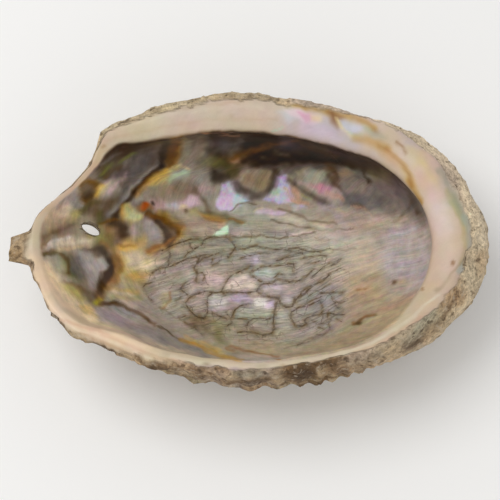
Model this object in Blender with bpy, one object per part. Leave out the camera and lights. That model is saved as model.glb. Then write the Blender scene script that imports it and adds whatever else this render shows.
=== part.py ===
"""Abalone shell lying on its back, opening upward: one grown piece, one closed solid.

+X is the spire end, -X the end with the siphon notch, +Y the side of the broad columellar shelf,
-Y the thin outer lip and +Z up. The origin is under the middle of the shell, on the surface it
rests on. Shapes are worked out in millimetres and scaled to metres when the mesh is made.
"""
import math

import bmesh
import bpy
import numpy as np
from mathutils import Matrix, Vector, noise

MM = 0.001

# Driving dimensions, in millimetres
HEIGHT = 44.0
FLOOR = 3.9
BOWL_CENTRE = (2.0, 4.0)
SHELL_SHIFT = (-0.11, -6.41)
CRUST_DROP = 1.6
WORN_DEPTH = 0.7

# Growth: every whorl is the last margin, shrunk towards the apex and turned with the spiral
APEX = (54.0, -12.0)
SPIRAL_TURN = 1.06
LEDGE_STEP = 0.13
LEDGE_RISE = 1.4
LEDGE_SHARPNESS = 1.5
LEDGE_WANDER = 0.035
RIB_COUNT = 34
RIB_RISE = 0.5
RIB_WANDER = 2.0
YOUNG_CREST_FROM = 14.0
YOUNG_CREST_OVER = 22.0
LEDGE_SIDE_END = 26.0
LEDGE_SIDE_FADE = 10.0
LUMP_SIZE = 12.0
LUMP_RISE = 1.4
LUMP_OFFSET = (7.0, 3.0, 1.0)
WOBBLE_SIZE = 20.0

# The low spire on the back and the groove round it
SPIRE_RISE = 5.5
SPIRE_RADIUS = 8.0
SPIRE_TOP = 24.0
SPIRE_FADE = 8.0
SUTURE_RADIUS = 14.0
SUTURE_WIDTH = 3.0
SUTURE_DEPTH = 1.8

# Breathing holes along the spiral, oldest first, as points on the bowl's wall
CLOSED_HOLES = (
    (49.0, 27.5, 28.0), (40.7, 31.4, 24.7), (30.6, 33.8, 19.1), (19.0, 34.8, 14.5),
    (1.5, 35.2, 11.6), (-15.4, 33.0, 13.0), (-33.1, 22.0, 20.2))
OPEN_HOLE = (-48.8, 11.4, 30.4)
HOLE_LENGTH = 6.2
HOLE_WIDTH = 2.9
HOLE_PIN = 34.0
HOLE_AXIS = (0.12, -0.25, 0.95)
HOLE_LONG_WAY = (0.9, -0.35, -0.28)
DOME_RISE = 1.0
DOME_RADIUS = 3.6
OLDEST_TUBERCLE = 1.8
YOUNGEST_TUBERCLE = 3.4
TUBERCLE_RADIUS = 4.2
TUBERCLE_OUTWARD = 3.2
TUBERCLE_BELOW = 3.5

# Shallow waves in the nacre near the siphon end
WAVE_RISE = 0.45
WAVE_START = -12.0
WAVE_FADE = 25.0
WAVE_TURN = (0.42, 0.3)

# The rough knob that stands out under the notch: its root on the rim and how far it reaches
KNOB_ROOT = (-67.0, 3.0, 36.5)
KNOB_RADIUS = 2.8
KNOB_REACH = 7.0
KNOB_FLATNESS = 8.0

# Stations of the cross-section, by compass direction about the bowl's centre, in degrees:
# reach of the margin, where the nacre meets the crust
MARGIN_REACH = {
    0: 62, 12: 60, 28: 57, 37: 55, 47: 51, 57: 47.5, 68: 45, 80: 44, 92: 44.5, 106: 46, 117: 48,
    130: 51.5, 139: 55, 144: 58, 148: 56.5, 155: 55.5, 163: 58.5, 168: 62.5, 173: 67.5, 179: 68.5,
    189: 67, 199: 65, 206: 61.5, 212: 55, 218: 51, 228: 47.5, 240: 43.5, 256: 40.6, 275: 40,
    290: 41, 304: 44, 318: 49, 333: 54.5, 347: 59.5}
MARGIN_DROP = {0: 0, 90: 0, 140: 0.5, 150: 1, 166: 2, 174: 4, 180: 7, 186: 5, 193: 2.5, 230: 1.5, 300: 1}
SHELF_WIDTH = {
    0: 10.2, 13: 9.3, 32: 11.5, 44: 12.3, 58: 11, 68: 10, 108: 10, 125: 9.6, 138: 8, 147: 4,
    156: 2.2, 200: 2.5, 270: 3, 310: 3.2, 330: 5.5, 345: 8}
SHELF_FALL = {0: 3, 90: 3, 140: 2, 150: 1, 180: 0.8, 270: 1.2, 320: 1.6, 340: 2.5}
CRUST_WIDTH = {
    0: 2.6, 20: 3.2, 38: 1.7, 55: 1.6, 66: 2.8, 80: 2.2, 95: 1.8, 108: 3.5, 122: 2.8, 138: 3.2, 150: 1.0,
    165: 0.1, 172: 0.4, 179: 1.4, 206: 1.4, 216: 3.3, 228: 2.6, 240: 2.0, 252: 1.6, 290: 1.2, 325: 1.4, 345: 2.3}
# How far each wall turns from the floor (over 90 overhangs), and how square its corner is
INNER_TURN = {
    0: 122, 60: 124, 90: 122, 115: 116, 130: 104, 142: 88, 152: 66, 165: 54, 180: 50, 200: 53,
    215: 66, 230: 80, 245: 90, 270: 96, 300: 94, 320: 92, 335: 98, 348: 112}
INNER_POWER = {0: 0.62, 45: 0.6, 90: 0.52, 120: 0.58, 150: 0.9, 180: 1.15, 210: 1, 240: 0.78, 270: 0.68}
OUTER_TURN = {
    0: 120, 12: 123.5, 30: 119, 60: 110, 90: 101, 120: 94, 135: 87, 150: 72, 165: 60, 180: 54, 200: 58,
    215: 70, 230: 84, 245: 94, 270: 100, 300: 102, 318: 106, 345: 119}
OUTER_POWER = {0: 0.72, 45: 0.68, 90: 0.56, 120: 0.62, 150: 0.9, 180: 1.15, 210: 1, 240: 0.8, 270: 0.72}

# Rings of faces from the bowl's floor over the rim to the underside
CUBE_CUTS = 27
RINGS = 2 * (CUBE_CUTS + 1)
INNER_RINGS = 20
SHELF_RINGS = 3
RIM_RINGS = 1
SAMPLES = 160
SAMPLE_CROWDING = 1.5
SHARP_EDGE_ANGLE = 50.0


def around(stations, degrees, ease):
    """A quantity given at compass stations, as a smooth closed curve read at other directions."""
    whole_turn = np.arange(-180.0, 541.0)
    keys = sorted(stations)
    line = np.interp(whole_turn, keys, [stations[key] for key in keys], period=360)
    reach = np.arange(-4 * ease, 4 * ease + 1)
    bell = np.exp(-0.5 * (reach / ease) ** 2)
    smooth = np.convolve(np.pad(line, 4 * ease, mode="edge"), bell / bell.sum(), "valid")
    return np.interp(np.asarray(degrees) % 360, whole_turn, smooth)


def evenly(radius, height, count):
    """A dense profile, one row for each direction, read at count + 1 even steps of its length."""
    steps = np.hypot(np.diff(radius), np.diff(height))
    length = np.concatenate([np.zeros((len(steps), 1)), np.cumsum(steps, axis=1)], axis=1)
    even_r = np.empty((len(steps), count + 1))
    even_z = np.empty_like(even_r)
    for row, along in enumerate(length):
        wanted = np.linspace(0, along[-1], count + 1)
        even_r[row] = np.interp(wanted, along, radius[row])
        even_z[row] = np.interp(wanted, along, height[row])
    return even_r, even_z


def cross_sections(degrees):
    """Radius and height of every ring at each direction: floor, shelf, rim, outside, underside."""
    def column(stations, ease=4):
        return around(stations, degrees, ease)[:, None]

    margin_r = column(MARGIN_REACH, 2)
    margin_z = HEIGHT - column(MARGIN_DROP, 3)
    edge_r = margin_r - column(SHELF_WIDTH, 3)
    edge_z = margin_z - column(SHELF_FALL)
    rim_r = margin_r + column(CRUST_WIDTH)
    rim_z = margin_z - CRUST_DROP
    share = np.linspace(0, 1, SAMPLES)[None, :] ** SAMPLE_CROWDING

    turn = np.radians(column(INNER_TURN, 5))
    angle = turn * share
    inner_r = edge_r * (np.sin(angle) / np.sin(turn)) ** column(INNER_POWER, 8)
    inner_z = FLOOR + (edge_z - FLOOR) * (1 - np.cos(angle)) / (1 - np.cos(turn))
    inner_r, inner_z = evenly(inner_r, inner_z, INNER_RINGS)

    turn = np.radians(column(OUTER_TURN, 5))
    angle = turn * share[:, ::-1]
    outer_r = rim_r * (np.sin(angle) / np.sin(turn)) ** column(OUTER_POWER, 8)
    outer_z = rim_z * (1 - np.cos(angle)) / (1 - np.cos(turn))
    outer_r, outer_z = evenly(outer_r, outer_z, RINGS - INNER_RINGS - SHELF_RINGS - RIM_RINGS)

    across = np.linspace(0, 1, SHELF_RINGS + 1)[None, 1:]
    shelf_r = edge_r + (margin_r - edge_r) * across
    shelf_z = edge_z + (margin_z - edge_z) * np.sin(across * math.pi / 2)
    return np.hstack([inner_r, shelf_r, outer_r]), np.hstack([inner_z, shelf_z, outer_z])


def growth_coordinates(x, y):
    """Growth stage of a point (0 at the margin, rising towards the apex) and its spiral angle."""
    degrees = np.arange(0.0, 360.0)
    reach = around(MARGIN_REACH, degrees, 2)
    margin_x = BOWL_CENTRE[0] + reach * np.cos(np.radians(degrees)) - APEX[0]
    margin_y = BOWL_CENTRE[1] + reach * np.sin(np.radians(degrees)) - APEX[1]
    bearing = np.arctan2(margin_y, margin_x) % math.tau
    order = np.argsort(bearing)
    log_margin = np.log(np.hypot(margin_x, margin_y))[order]
    angle = np.arctan2(y - APEX[1], x - APEX[0])
    log_distance = np.log(np.maximum(np.hypot(x - APEX[0], y - APEX[1]), 1.0))
    stage = np.full(len(x), 3.0)
    for trial in np.arange(3.0, -0.8, -0.02):
        margin = np.interp((angle + SPIRAL_TURN * trial) % math.tau, bearing[order], log_margin,
                           period=math.tau)
        stage = np.where(log_distance + trial >= margin, trial, stage)
    return stage, angle - SPIRAL_TURN * log_distance


def bump(points, centre, radius):
    """1 at the centre, falling smoothly to 0 over about twice the radius."""
    return np.exp(-((points - np.array(centre)) ** 2).sum(axis=1) / radius ** 2)


def tubercle_places():
    """Each breathing hole's place on the back: as far out as the wall is thick."""
    places = []
    for x, y, z in CLOSED_HOLES + (OPEN_HOLE,):
        outward = np.array([x - BOWL_CENTRE[0], y - BOWL_CENTRE[1]])
        outward *= TUBERCLE_OUTWARD / np.hypot(*outward)
        places.append((x + outward[0], y + outward[1], z - TUBERCLE_BELOW))
    return places


def outside_relief(points):
    """How far the crust stands out: growth ledges, ribs, hole tubercles, spire and lumps."""
    stage, spiral = growth_coordinates(points[:, 0], points[:, 1])
    reach = np.hypot(points[:, 0] - APEX[0], points[:, 1] - APEX[1])
    coarse = np.clip((reach - YOUNG_CREST_FROM) / YOUNG_CREST_OVER, 0, 1)
    wobble = np.array([noise.noise(Vector(point) / WOBBLE_SIZE) for point in points])
    lump = np.array([noise.noise(Vector(point) / LUMP_SIZE + Vector(LUMP_OFFSET)) for point in points])
    ledge = ((stage + LEDGE_WANDER * wobble) / LEDGE_STEP) % 1.0
    lip_side = np.clip((LEDGE_SIDE_END - points[:, 1]) / LEDGE_SIDE_FADE, 0, 1)
    relief = LEDGE_RISE * coarse * lip_side * (1 - ledge) ** LEDGE_SHARPNESS
    relief += RIB_RISE * coarse * np.cos(RIB_COUNT * spiral + RIB_WANDER * wobble)
    relief += LUMP_RISE * lump
    places = tubercle_places()
    for rise, place in zip(np.linspace(OLDEST_TUBERCLE, YOUNGEST_TUBERCLE, len(places)), places):
        relief += rise * bump(points, place, TUBERCLE_RADIUS)
    low = np.clip((SPIRE_TOP - points[:, 2]) / SPIRE_FADE, 0, 1)
    relief += low * SPIRE_RISE * np.exp(-(reach / SPIRE_RADIUS) ** 2)
    relief -= low * SUTURE_DEPTH * np.exp(-((reach - SUTURE_RADIUS) / SUTURE_WIDTH) ** 2)
    return relief


def inside_relief(points):
    """Nacre swellings under the closed holes and the shallow waves near the siphon end."""
    relief = np.zeros(len(points))
    for hole in CLOSED_HOLES:
        relief += DOME_RISE * bump(points, hole, DOME_RADIUS)
    siphon_end = np.clip((WAVE_START - points[:, 0]) / WAVE_FADE, 0, 1)
    relief += WAVE_RISE * siphon_end * np.sin(points[:, :2] @ np.array(WAVE_TURN))
    return relief


def nacre_material():
    """Pearly grey-cream, the mean colour of the shell."""
    material = bpy.data.materials.new("nacre")
    material.use_nodes = True
    shader = material.node_tree.nodes["Principled BSDF"]
    shader.inputs["Base Color"].default_value = (0.48, 0.42, 0.34, 1)
    shader.inputs["Roughness"].default_value = 0.35
    shader.inputs["Metallic"].default_value = 0.0
    return material


def shell_mesh():
    """A finely cut cube laid over the cross-sections: its top is the bowl, its base the back."""
    body = bmesh.new()
    bmesh.ops.create_cube(body, size=2.0)
    bmesh.ops.subdivide_edges(body, edges=body.edges[:], cuts=CUBE_CUTS, use_grid_fill=True)
    cube = np.array([vertex.co for vertex in body.verts])
    plan_x = cube[:, 0] * np.sqrt(1 - cube[:, 1] ** 2 / 2)
    plan_y = cube[:, 1] * np.sqrt(1 - cube[:, 0] ** 2 / 2)
    ring = RINGS * (0.5 - 0.25 * cube[:, 2] * (2 - np.hypot(plan_x, plan_y)))
    heading = np.degrees(np.arctan2(plan_y, plan_x)) % 360

    table_r, table_z = cross_sections(np.arange(0.0, 361.0))
    low_ring = np.clip(np.floor(ring + 1e-6), 0, RINGS - 1).astype(int)
    ring_part = ring - low_ring
    low_heading = np.floor(heading).astype(int)
    heading_part = heading - low_heading

    def read(table):
        before = table[low_heading, low_ring] * (1 - ring_part)
        before += table[low_heading, low_ring + 1] * ring_part
        after = table[low_heading + 1, low_ring] * (1 - ring_part)
        after += table[low_heading + 1, low_ring + 1] * ring_part
        return before * (1 - heading_part) + after * heading_part

    radius = read(table_r)
    points = np.stack([BOWL_CENTRE[0] + radius * np.cos(np.radians(heading)),
                       BOWL_CENTRE[1] + radius * np.sin(np.radians(heading)),
                       read(table_z)], axis=1)
    for vertex, point in zip(body.verts, points):
        vertex.co = point
    body.normal_update()
    normals = np.array([vertex.normal for vertex in body.verts])

    rim_ring = INNER_RINGS + SHELF_RINGS
    outside = np.clip(ring - rim_ring - RIM_RINGS + 1, 0, 1)
    inside = np.clip((INNER_RINGS - ring) / 3.0, 0, 1)
    relief = outside * outside_relief(points) + inside * inside_relief(points)
    points += normals * relief[:, None]
    knob = np.minimum(1, KNOB_FLATNESS * bump(points, KNOB_ROOT, KNOB_RADIUS))
    points[:, 0] -= KNOB_REACH * outside * knob
    crust = ring > rim_ring
    points[crust, 2] = np.maximum(points[crust, 2] - WORN_DEPTH * (1 - points[crust, 2] / HEIGHT), 0)
    points[:, :2] += np.array(SHELL_SHIFT)
    for vertex, point in zip(body.verts, points):
        vertex.co = point * MM
    bmesh.ops.triangulate(body, faces=body.faces[:])
    mesh = bpy.data.meshes.new("shell")
    body.to_mesh(mesh)
    body.free()
    mesh.shade_smooth()
    mesh.set_sharp_from_angle(angle=math.radians(SHARP_EDGE_ANGLE))
    return mesh


def hole_cutter():
    """Oval pin through the wall, long down the slope, where the last breathing hole is open."""
    pin = bmesh.new()
    bmesh.ops.create_cone(pin, cap_ends=True, segments=20, radius1=0.5, radius2=0.5, depth=HOLE_PIN * MM)
    for vertex in pin.verts:
        vertex.co.x *= HOLE_LENGTH * MM
        vertex.co.y *= HOLE_WIDTH * MM
    mesh = bpy.data.meshes.new("hole_cutter")
    pin.to_mesh(mesh)
    pin.free()
    cutter = bpy.data.objects.new("hole_cutter", mesh)
    axis = Vector(HOLE_AXIS).normalized()
    side = axis.cross(Vector(HOLE_LONG_WAY)).normalized()
    cutter.matrix_world = Matrix((side.cross(axis), side, axis)).transposed().to_4x4()
    cutter.location = (Vector(OPEN_HOLE) + Vector((*SHELL_SHIFT, 0))) * MM
    cutter.hide_render = True
    cutter.display_type = "WIRE"
    return cutter


def main():
    for item in list(bpy.data.objects):
        bpy.data.objects.remove(item, do_unlink=True)
    parts = bpy.data.collections.new("abalone_shell")
    cutters = bpy.data.collections.new("cutters")
    bpy.context.scene.collection.children.link(parts)
    bpy.context.scene.collection.children.link(cutters)

    shell = bpy.data.objects.new("shell", shell_mesh())
    shell.data.materials.append(nacre_material())
    parts.objects.link(shell)
    cutter = hole_cutter()
    cutters.objects.link(cutter)
    opening = shell.modifiers.new("breathing_hole", "BOOLEAN")
    opening.operation = "DIFFERENCE"
    opening.solver = "EXACT"
    opening.object = cutter


main()
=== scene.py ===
import math

import bmesh
import bpy
import numpy as np
from mathutils import Matrix, Vector, noise


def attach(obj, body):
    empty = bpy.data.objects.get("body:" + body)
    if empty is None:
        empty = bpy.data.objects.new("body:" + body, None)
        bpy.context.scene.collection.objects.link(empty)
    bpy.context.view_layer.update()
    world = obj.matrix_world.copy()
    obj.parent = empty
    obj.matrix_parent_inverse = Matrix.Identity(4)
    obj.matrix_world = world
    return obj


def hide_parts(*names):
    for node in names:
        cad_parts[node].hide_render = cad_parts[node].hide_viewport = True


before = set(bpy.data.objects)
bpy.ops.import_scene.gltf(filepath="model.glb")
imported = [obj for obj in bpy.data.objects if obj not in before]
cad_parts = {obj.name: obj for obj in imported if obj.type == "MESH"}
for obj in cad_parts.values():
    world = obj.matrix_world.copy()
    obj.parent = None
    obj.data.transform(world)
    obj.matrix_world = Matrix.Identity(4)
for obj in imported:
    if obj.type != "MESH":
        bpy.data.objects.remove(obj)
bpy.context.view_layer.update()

# Shapes are worked out in millimetres about the bowl and scaled to metres at the end
MM = 0.001
HEIGHT = 44.0
FLOOR = 3.9
BOWL_CENTRE = (2.0, 4.0)
SHELL_SHIFT = (-0.11, -6.41)
CRUST_DROP = 1.6
WORN_DEPTH = 0.7

# Growth: every whorl is the last margin, shrunk towards the apex and turned with the spiral
APEX = (54.0, -12.0)
SPIRAL_TURN = 1.06
LEDGE_STEP = 0.13
STAGE_STEP = 0.02
LEDGE_RISE = 1.4
LEDGE_SHARPNESS = 1.5
LEDGE_WANDER = 0.035
RIB_COUNT = 34
RIB_RISE = 0.5
RIB_WANDER = 2.0
YOUNG_CREST_FROM = 14.0
YOUNG_CREST_OVER = 22.0
LEDGE_SIDE_END = 26.0
LEDGE_SIDE_FADE = 10.0
LUMP_SIZE = 12.0
LUMP_RISE = 1.4
LUMP_OFFSET = (7.0, 3.0, 1.0)
WOBBLE_SIZE = 20.0

# The low spire on the back and the groove round it
SPIRE_RISE = 5.5
SPIRE_RADIUS = 8.0
SPIRE_TOP = 24.0
SPIRE_FADE = 8.0
SUTURE_RADIUS = 14.0
SUTURE_WIDTH = 3.0
SUTURE_DEPTH = 1.8

# Breathing holes along the spiral, oldest first, as points on the bowl's wall
CLOSED_HOLES = (
    (49.0, 27.5, 28.0), (40.7, 31.4, 24.7), (30.6, 33.8, 19.1), (19.0, 34.8, 14.5),
    (1.5, 35.2, 11.6), (-15.4, 33.0, 13.0), (-33.1, 22.0, 20.2))
OPEN_HOLE = (-48.8, 11.4, 30.4)
HOLE_LENGTH = 6.2
HOLE_WIDTH = 2.9
HOLE_PIN = 34.0
HOLE_AXIS = (0.12, -0.25, 0.95)
HOLE_LONG_WAY = (0.9, -0.35, -0.28)
DOME_RISE = 1.0
DOME_RADIUS = 3.6
OLDEST_TUBERCLE = 1.8
YOUNGEST_TUBERCLE = 3.4
TUBERCLE_RADIUS = 4.2
TUBERCLE_OUTWARD = 3.2
TUBERCLE_BELOW = 3.5

# Shallow waves in the nacre near the siphon end
WAVE_RISE = 0.45
WAVE_START = -12.0
WAVE_FADE = 25.0
WAVE_TURN = (0.42, 0.3)

# The rough knob that stands out under the notch
KNOB_ROOT = (-67.0, 3.0, 36.5)
KNOB_RADIUS = 2.8
KNOB_REACH = 7.0
KNOB_FLATNESS = 8.0

# Stations of the cross-section, by compass direction about the bowl's centre, in degrees
MARGIN_REACH = {
    0: 62, 12: 60, 28: 57, 37: 55, 47: 51, 57: 47.5, 68: 45, 80: 44, 92: 44.5, 106: 46, 117: 48,
    130: 51.5, 139: 55, 144: 58, 148: 56.5, 155: 55.5, 163: 58.5, 168: 62.5, 173: 67.5, 179: 68.5,
    189: 67, 199: 65, 206: 61.5, 212: 55, 218: 51, 228: 47.5, 240: 43.5, 256: 40.6, 275: 40,
    290: 41, 304: 44, 318: 49, 333: 54.5, 347: 59.5}
MARGIN_DROP = {0: 0, 90: 0, 140: 0.5, 150: 1, 166: 2, 174: 4, 180: 7, 186: 5, 193: 2.5, 230: 1.5, 300: 1}
SHELF_WIDTH = {
    0: 10.2, 13: 9.3, 32: 11.5, 44: 12.3, 58: 11, 68: 10, 108: 10, 125: 9.6, 138: 8, 147: 4,
    156: 2.2, 200: 2.5, 270: 3, 310: 3.2, 330: 5.5, 345: 8}
SHELF_FALL = {0: 3, 90: 3, 140: 2, 150: 1, 180: 0.8, 270: 1.2, 320: 1.6, 340: 2.5}
CRUST_WIDTH = {
    0: 2.6, 20: 3.2, 38: 1.7, 55: 1.6, 66: 2.8, 80: 2.2, 95: 1.8, 108: 3.5, 122: 2.8, 138: 3.2, 150: 1.0,
    165: 0.1, 172: 0.4, 179: 1.4, 206: 1.4, 216: 3.3, 228: 2.6, 240: 2.0, 252: 1.6, 290: 1.2, 325: 1.4,
    345: 2.3}
INNER_TURN = {
    0: 122, 60: 124, 90: 122, 115: 116, 130: 104, 142: 88, 152: 66, 165: 54, 180: 50, 200: 53,
    215: 66, 230: 80, 245: 90, 270: 96, 300: 94, 320: 92, 335: 98, 348: 112}
INNER_POWER = {0: 0.62, 45: 0.6, 90: 0.52, 120: 0.58, 150: 0.9, 180: 1.15, 210: 1, 240: 0.78, 270: 0.68}
OUTER_TURN = {
    0: 120, 12: 123.5, 30: 119, 60: 110, 90: 101, 120: 94, 135: 87, 150: 72, 165: 60, 180: 54, 200: 58,
    215: 70, 230: 84, 245: 94, 270: 100, 300: 102, 318: 106, 345: 119}
OUTER_POWER = {0: 0.72, 45: 0.68, 90: 0.56, 120: 0.62, 150: 0.9, 180: 1.15, 210: 1, 240: 0.8, 270: 0.72}

# A finely cut cube is laid over the shell: its top is the bowl's floor, its base the back
CELLS = 127
RINGS = 2 * CELLS
FLOOR_RINGS = CELLS / 2
FLOOR_SHARE = 0.42
INNER_RINGS = 134
SHELF_RINGS = 16
RIM_RINGS = 6
MARGIN_RING = INNER_RINGS + SHELF_RINGS
SAMPLES = 400
SAMPLE_CROWDING = 1.5

# The photograph's frame: the camera looks down at 72 degrees from 625 mm with a 150 mm lens
FRAME_PIXELS = 500
LENS = 150.0
SENSOR = 36.0
CAMERA_PITCH = math.radians(72.0)
CAMERA_DISTANCE = 625.0
CAMERA_PLACE = (SHELL_SHIFT[0], SHELL_SHIFT[1] - CAMERA_DISTANCE * math.cos(CAMERA_PITCH),
                HEIGHT + CAMERA_DISTANCE * math.sin(CAMERA_PITCH))

# The muscle scar's middle on the bowl's floor, and its outline in the photograph's frame
SCAR_CENTRE = (0.0, -1.0)
SCAR_OUTLINE = (
    "140,268 165,240 205,226 260,228 310,232 345,246 352,290 336,330 290,348 235,346 190,330 150,305")

# How far past the margin the porcelain runs down over the rim, in rings, by compass direction
PORCELAIN_OVER = {
    0: 7, 25: 5, 50: 2, 80: 0, 120: -1, 160: 1, 190: 2, 205: 5, 225: 4, 245: 1, 300: 0, 330: 1, 345: 4}

# How far past the bowl's edge the nacre runs out over the lip, in rings, by compass direction
NACRE_OVER = {
    0: 0, 120: 0, 138: 0, 145: 3, 152: 6, 164: 6, 170: 4, 176: 2, 186: 1, 194: -4, 202: -10, 210: -12,
    218: -12, 226: -8, 234: -2, 245: 5, 270: 9, 300: 10, 315: 9, 330: 5, 342: 1, 350: 0}

# Noise sizes of the finish, in waves to a metre, and how short the streaks are
MOTTLE_SCALE = 320.0
FLECK_SCALE = 620.0
PASTEL_SCALE = 90.0
GRAIN_SCALE = 900.0
CRUMB_SCALE = 520.0
SPECK_SCALE = 2400.0
STREAK_SHORTNESS = 150
RELIEF_DEPTH = 0.0006

# The floor and the lamps, in metres and watts
FLOOR_SIZE = 3.0
WORLD_STRENGTH = 0.62
KEY_PLACE = (-0.3, 0.12, 0.75)
KEY_POWER = 2.4
FRONT_PLACE = (0.25, -0.55, 0.5)
FRONT_POWER = 0.5

# The nacre's paint is lifted for the shade in the bowl, and darkened by what its gloss adds
BOWL_LIFT = 1.28
GLOSS_VEIL = 0.014

# How far painted edges wander, in pixels of the photograph
NACRE_WANDER = 2.4
SHELF_WANDER = 1.8
CRACK_WANDER = 0.9

# Millimetres of shell to one growth stage, for the streaks
GROWTH_SPREAD = 90.0

# Slope of the scar's fibres as seen from above, by distance to the right of the bowl's middle
FIBRE_SLOPE = {
    -60: 0.25, -30: 0.45, -18: 0.4, -6: 0.15, 4: -0.05, 12: 0.2, 24: 0.6, 36: 0.4, 50: 0.2, 70: 0.1}

# Where the fibres show instead of the growth lines, in the photograph's frame
FIBRE_OUTLINE = "128,262 170,212 260,202 430,200 434,300 350,338 240,352 168,332"

# Finish colours, linear
CRACK_BROWN = (0.07, 0.034, 0.007, 1)
CRACK_OLIVE = (0.07, 0.046, 0.018, 1)
CRACK_HALO = (0.27, 0.175, 0.06, 1)
# Painted light: the open hole's wall is a light tan that offsets the shade inside the hole
HOLE_WALL_LIT = (0.45, 0.37, 0.25, 1.0)
# The hollows of the crust's crumbs are brown, partly as painted shade, and the crumbs' tops get a painted
# highlight in cream
PIT_BROWN_AND_SHADE = (0.075, 0.042, 0.018, 1)
CRUMB_HIGHLIGHT = (0.56, 0.46, 0.34, 1)

# Shell colours as they look on screen
TINTS = {
    "cream": (197, 178, 152), "pale cream": (209, 194, 171), "peach": (202, 177, 158),
    "rose grey": (188, 176, 181), "tan": (186, 160, 130), "light tan": (196, 170, 138),
    "salmon": (197, 152, 124), "khaki": (150, 132, 104), "pale khaki": (170, 152, 118),
    "nacre": (152, 142, 129), "warm nacre": (166, 150, 132), "mauve": (166, 152, 155),
    "pale mauve": (182, 170, 173), "smoke": (106, 97, 94), "pale smoke": (131, 123, 121),
    "ash": (147, 141, 138), "slate": (92, 88, 90), "soot": (30, 19, 12), "umber": (54, 38, 25),
    "bark": (84, 61, 38), "russet": (124, 82, 42), "amber": (174, 128, 52), "dark amber": (108, 68, 16),
    "gold": (192, 156, 84), "bright gold": (204, 166, 74), "olive": (84, 75, 40), "moss": (104, 106, 52),
    "lime": (152, 138, 28), "pale olive": (160, 148, 88), "sage": (152, 152, 130),
    "pale sage": (168, 170, 154), "mint": (178, 200, 172), "bright mint": (205, 242, 206),
    "sea": (190, 212, 214), "ice": (196, 202, 216), "lilac": (197, 186, 218), "violet": (186, 168, 210),
    "orchid": (214, 190, 216), "pink": (206, 142, 168), "pale pink": (218, 194, 200),
    "blush": (192, 164, 164), "straw": (208, 190, 122), "light sand": (232, 212, 178),
    # The next tint is painted light: a peach lighter than the lip's own, for walls that lie in shade
    "bright peach": (236, 207, 174), "butter": (224, 206, 152), "rust": (166, 72, 16),
    "crack": (86, 70, 46), "rose cream": (200, 181, 163), "pale stone": (196, 179, 146),
    "stone": (161, 146, 120), "rose crust": (190, 171, 160), "clay": (176, 144, 108),
    "crumb": (104, 78, 50), "dark crumb": (66, 48, 32), "light crumb": (192, 168, 134),
    "ochre": (134, 88, 42), "white": (226, 222, 214), "sandstone": (172, 155, 126)}

# Marks, given one by one: tint, softness, strength and places in the photograph's frame, in its pixels.
# A stroke has its width before its places. A patch has its outline. A dab has its middle, then its
# half width and half height.
BOWL = (
    ("warm nacre", 14, 1, "300,222 345,214 400,205 440,225 436,290 410,330 350,352 300,350 318,300"),
    ("pale mauve", 12, 0.9, "385,225 432,210 434,285 415,296 385,290 376,255"),
    ("smoke", 10, 0.8, "330,160 372,160 400,176 420,196 430,216 424,222 400,212 368,210 342,204 328,186"),
    ("khaki", 12, 0.7, "345,250 378,246 380,280 370,300 345,300"),
    ("pale khaki", 12, 0.7, "338,300 378,296 424,296 410,322 372,345 330,352 322,338"),
    ("khaki", 10, 0.5, "318,336 352,328 384,336 356,352 300,358 300,346"),
    ("tan", 10, 0.6, "372,296 424,290 434,300 404,326 376,336"),
    ("ash", 12, 0.65, "300,290 346,286 350,320 330,340 300,336"),
    ("sage", 14, 0.55, "180,236 240,224 320,232 340,256 300,268 240,262 190,262 160,262"),
    ("khaki", 12, 0.4, "185,312 240,318 290,338 280,352 230,346 195,334"),
    ("pale khaki", 8, 0.6, "206,344 250,346 300,344 340,340 350,350 300,360 240,362 210,356"),
)

# The dark band under the overhanging shelf: the nacre's own dark brown with painted shade from the overhang,
# darkest in the soot and umber marks
UNDER_SHELF_DARK_AND_SHADE = (
    ("umber", 5, 1, "158,136 200,131 252,130 305,134 342,146 372,160 380,172 350,166 318,168 285,171 "
     "262,170 246,166 234,172 222,168 204,158 190,150 170,160"),
    ("soot", 5, 1, "240,137 300,138 340,151 366,163 340,166 296,164 262,166 244,161"),
    ("slate", 5, 0.7, "210,148 222,139 246,136 240,148 222,156"),
    ("smoke", 3, 0.5, 3, "214,150 228,145 242,139"),
    ("khaki", 5, 0.8, "184,140 204,138 212,144 206,158 196,166 186,164 182,154"),
    ("nacre", 4, 0.8, "186,146 196,146 198,160 188,160"),
    ("pale smoke", 4, 0.5, 5, "204,134 212,142 208,150"),
    ("bark", 4, 0.6, 5, "300,146 320,150 338,156"),
    ("rust", 1.6, 0.5, 2, "202,134 214,133.5 226,134"),
    ("salmon", 1.4, 0.55, 1.6, "204,134.5 213,134 240,135"),
    ("slate", 6, 0.45, "262,164 290,165 318,163 330,168 300,171 270,171"),
    ("smoke", 4, 0.5, 4, "262,167 290,168 320,166 340,168"),
    ("salmon", 3, 0.75, "229,161 239,158 239,165 231,168"),
    ("olive", 4, 0.85, "226,166 240,166 238,176 230,182 226,176"),
    ("umber", 4, 0.9, "344,158 362,160 378,168 384,176 366,172 350,168"),
    ("umber", 4, 0.6, 5, "372,162 392,174 404,186 412,198 418,212"),
    ("slate", 6, 0.5, "392,178 408,190 420,210 408,208 394,194"),
    ("ochre", 8, 0.55, 5, "226,161 240,157 254,151 270,146 286,142 300,140"),
    ("dark amber", 6, 0.6, 4, "232,160 250,152 272,145 298,140"),
    ("bark", 6, 0.5, 4, "280,138 300,140 324,147"),
    ("umber", 6, 0.7, "200,142 212,138 222,142 214,152 204,152"),
    ("olive", 5, 1, "196,157 212,156 226,160 232,168 218,171 200,168"),
    ("moss", 5, 0.7, "199,158 212,159 220,163 216,168 204,166"),
    ("soot", 6, 0.9, "212,170 225,171 229,178 222,185 213,181"),
)

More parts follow.
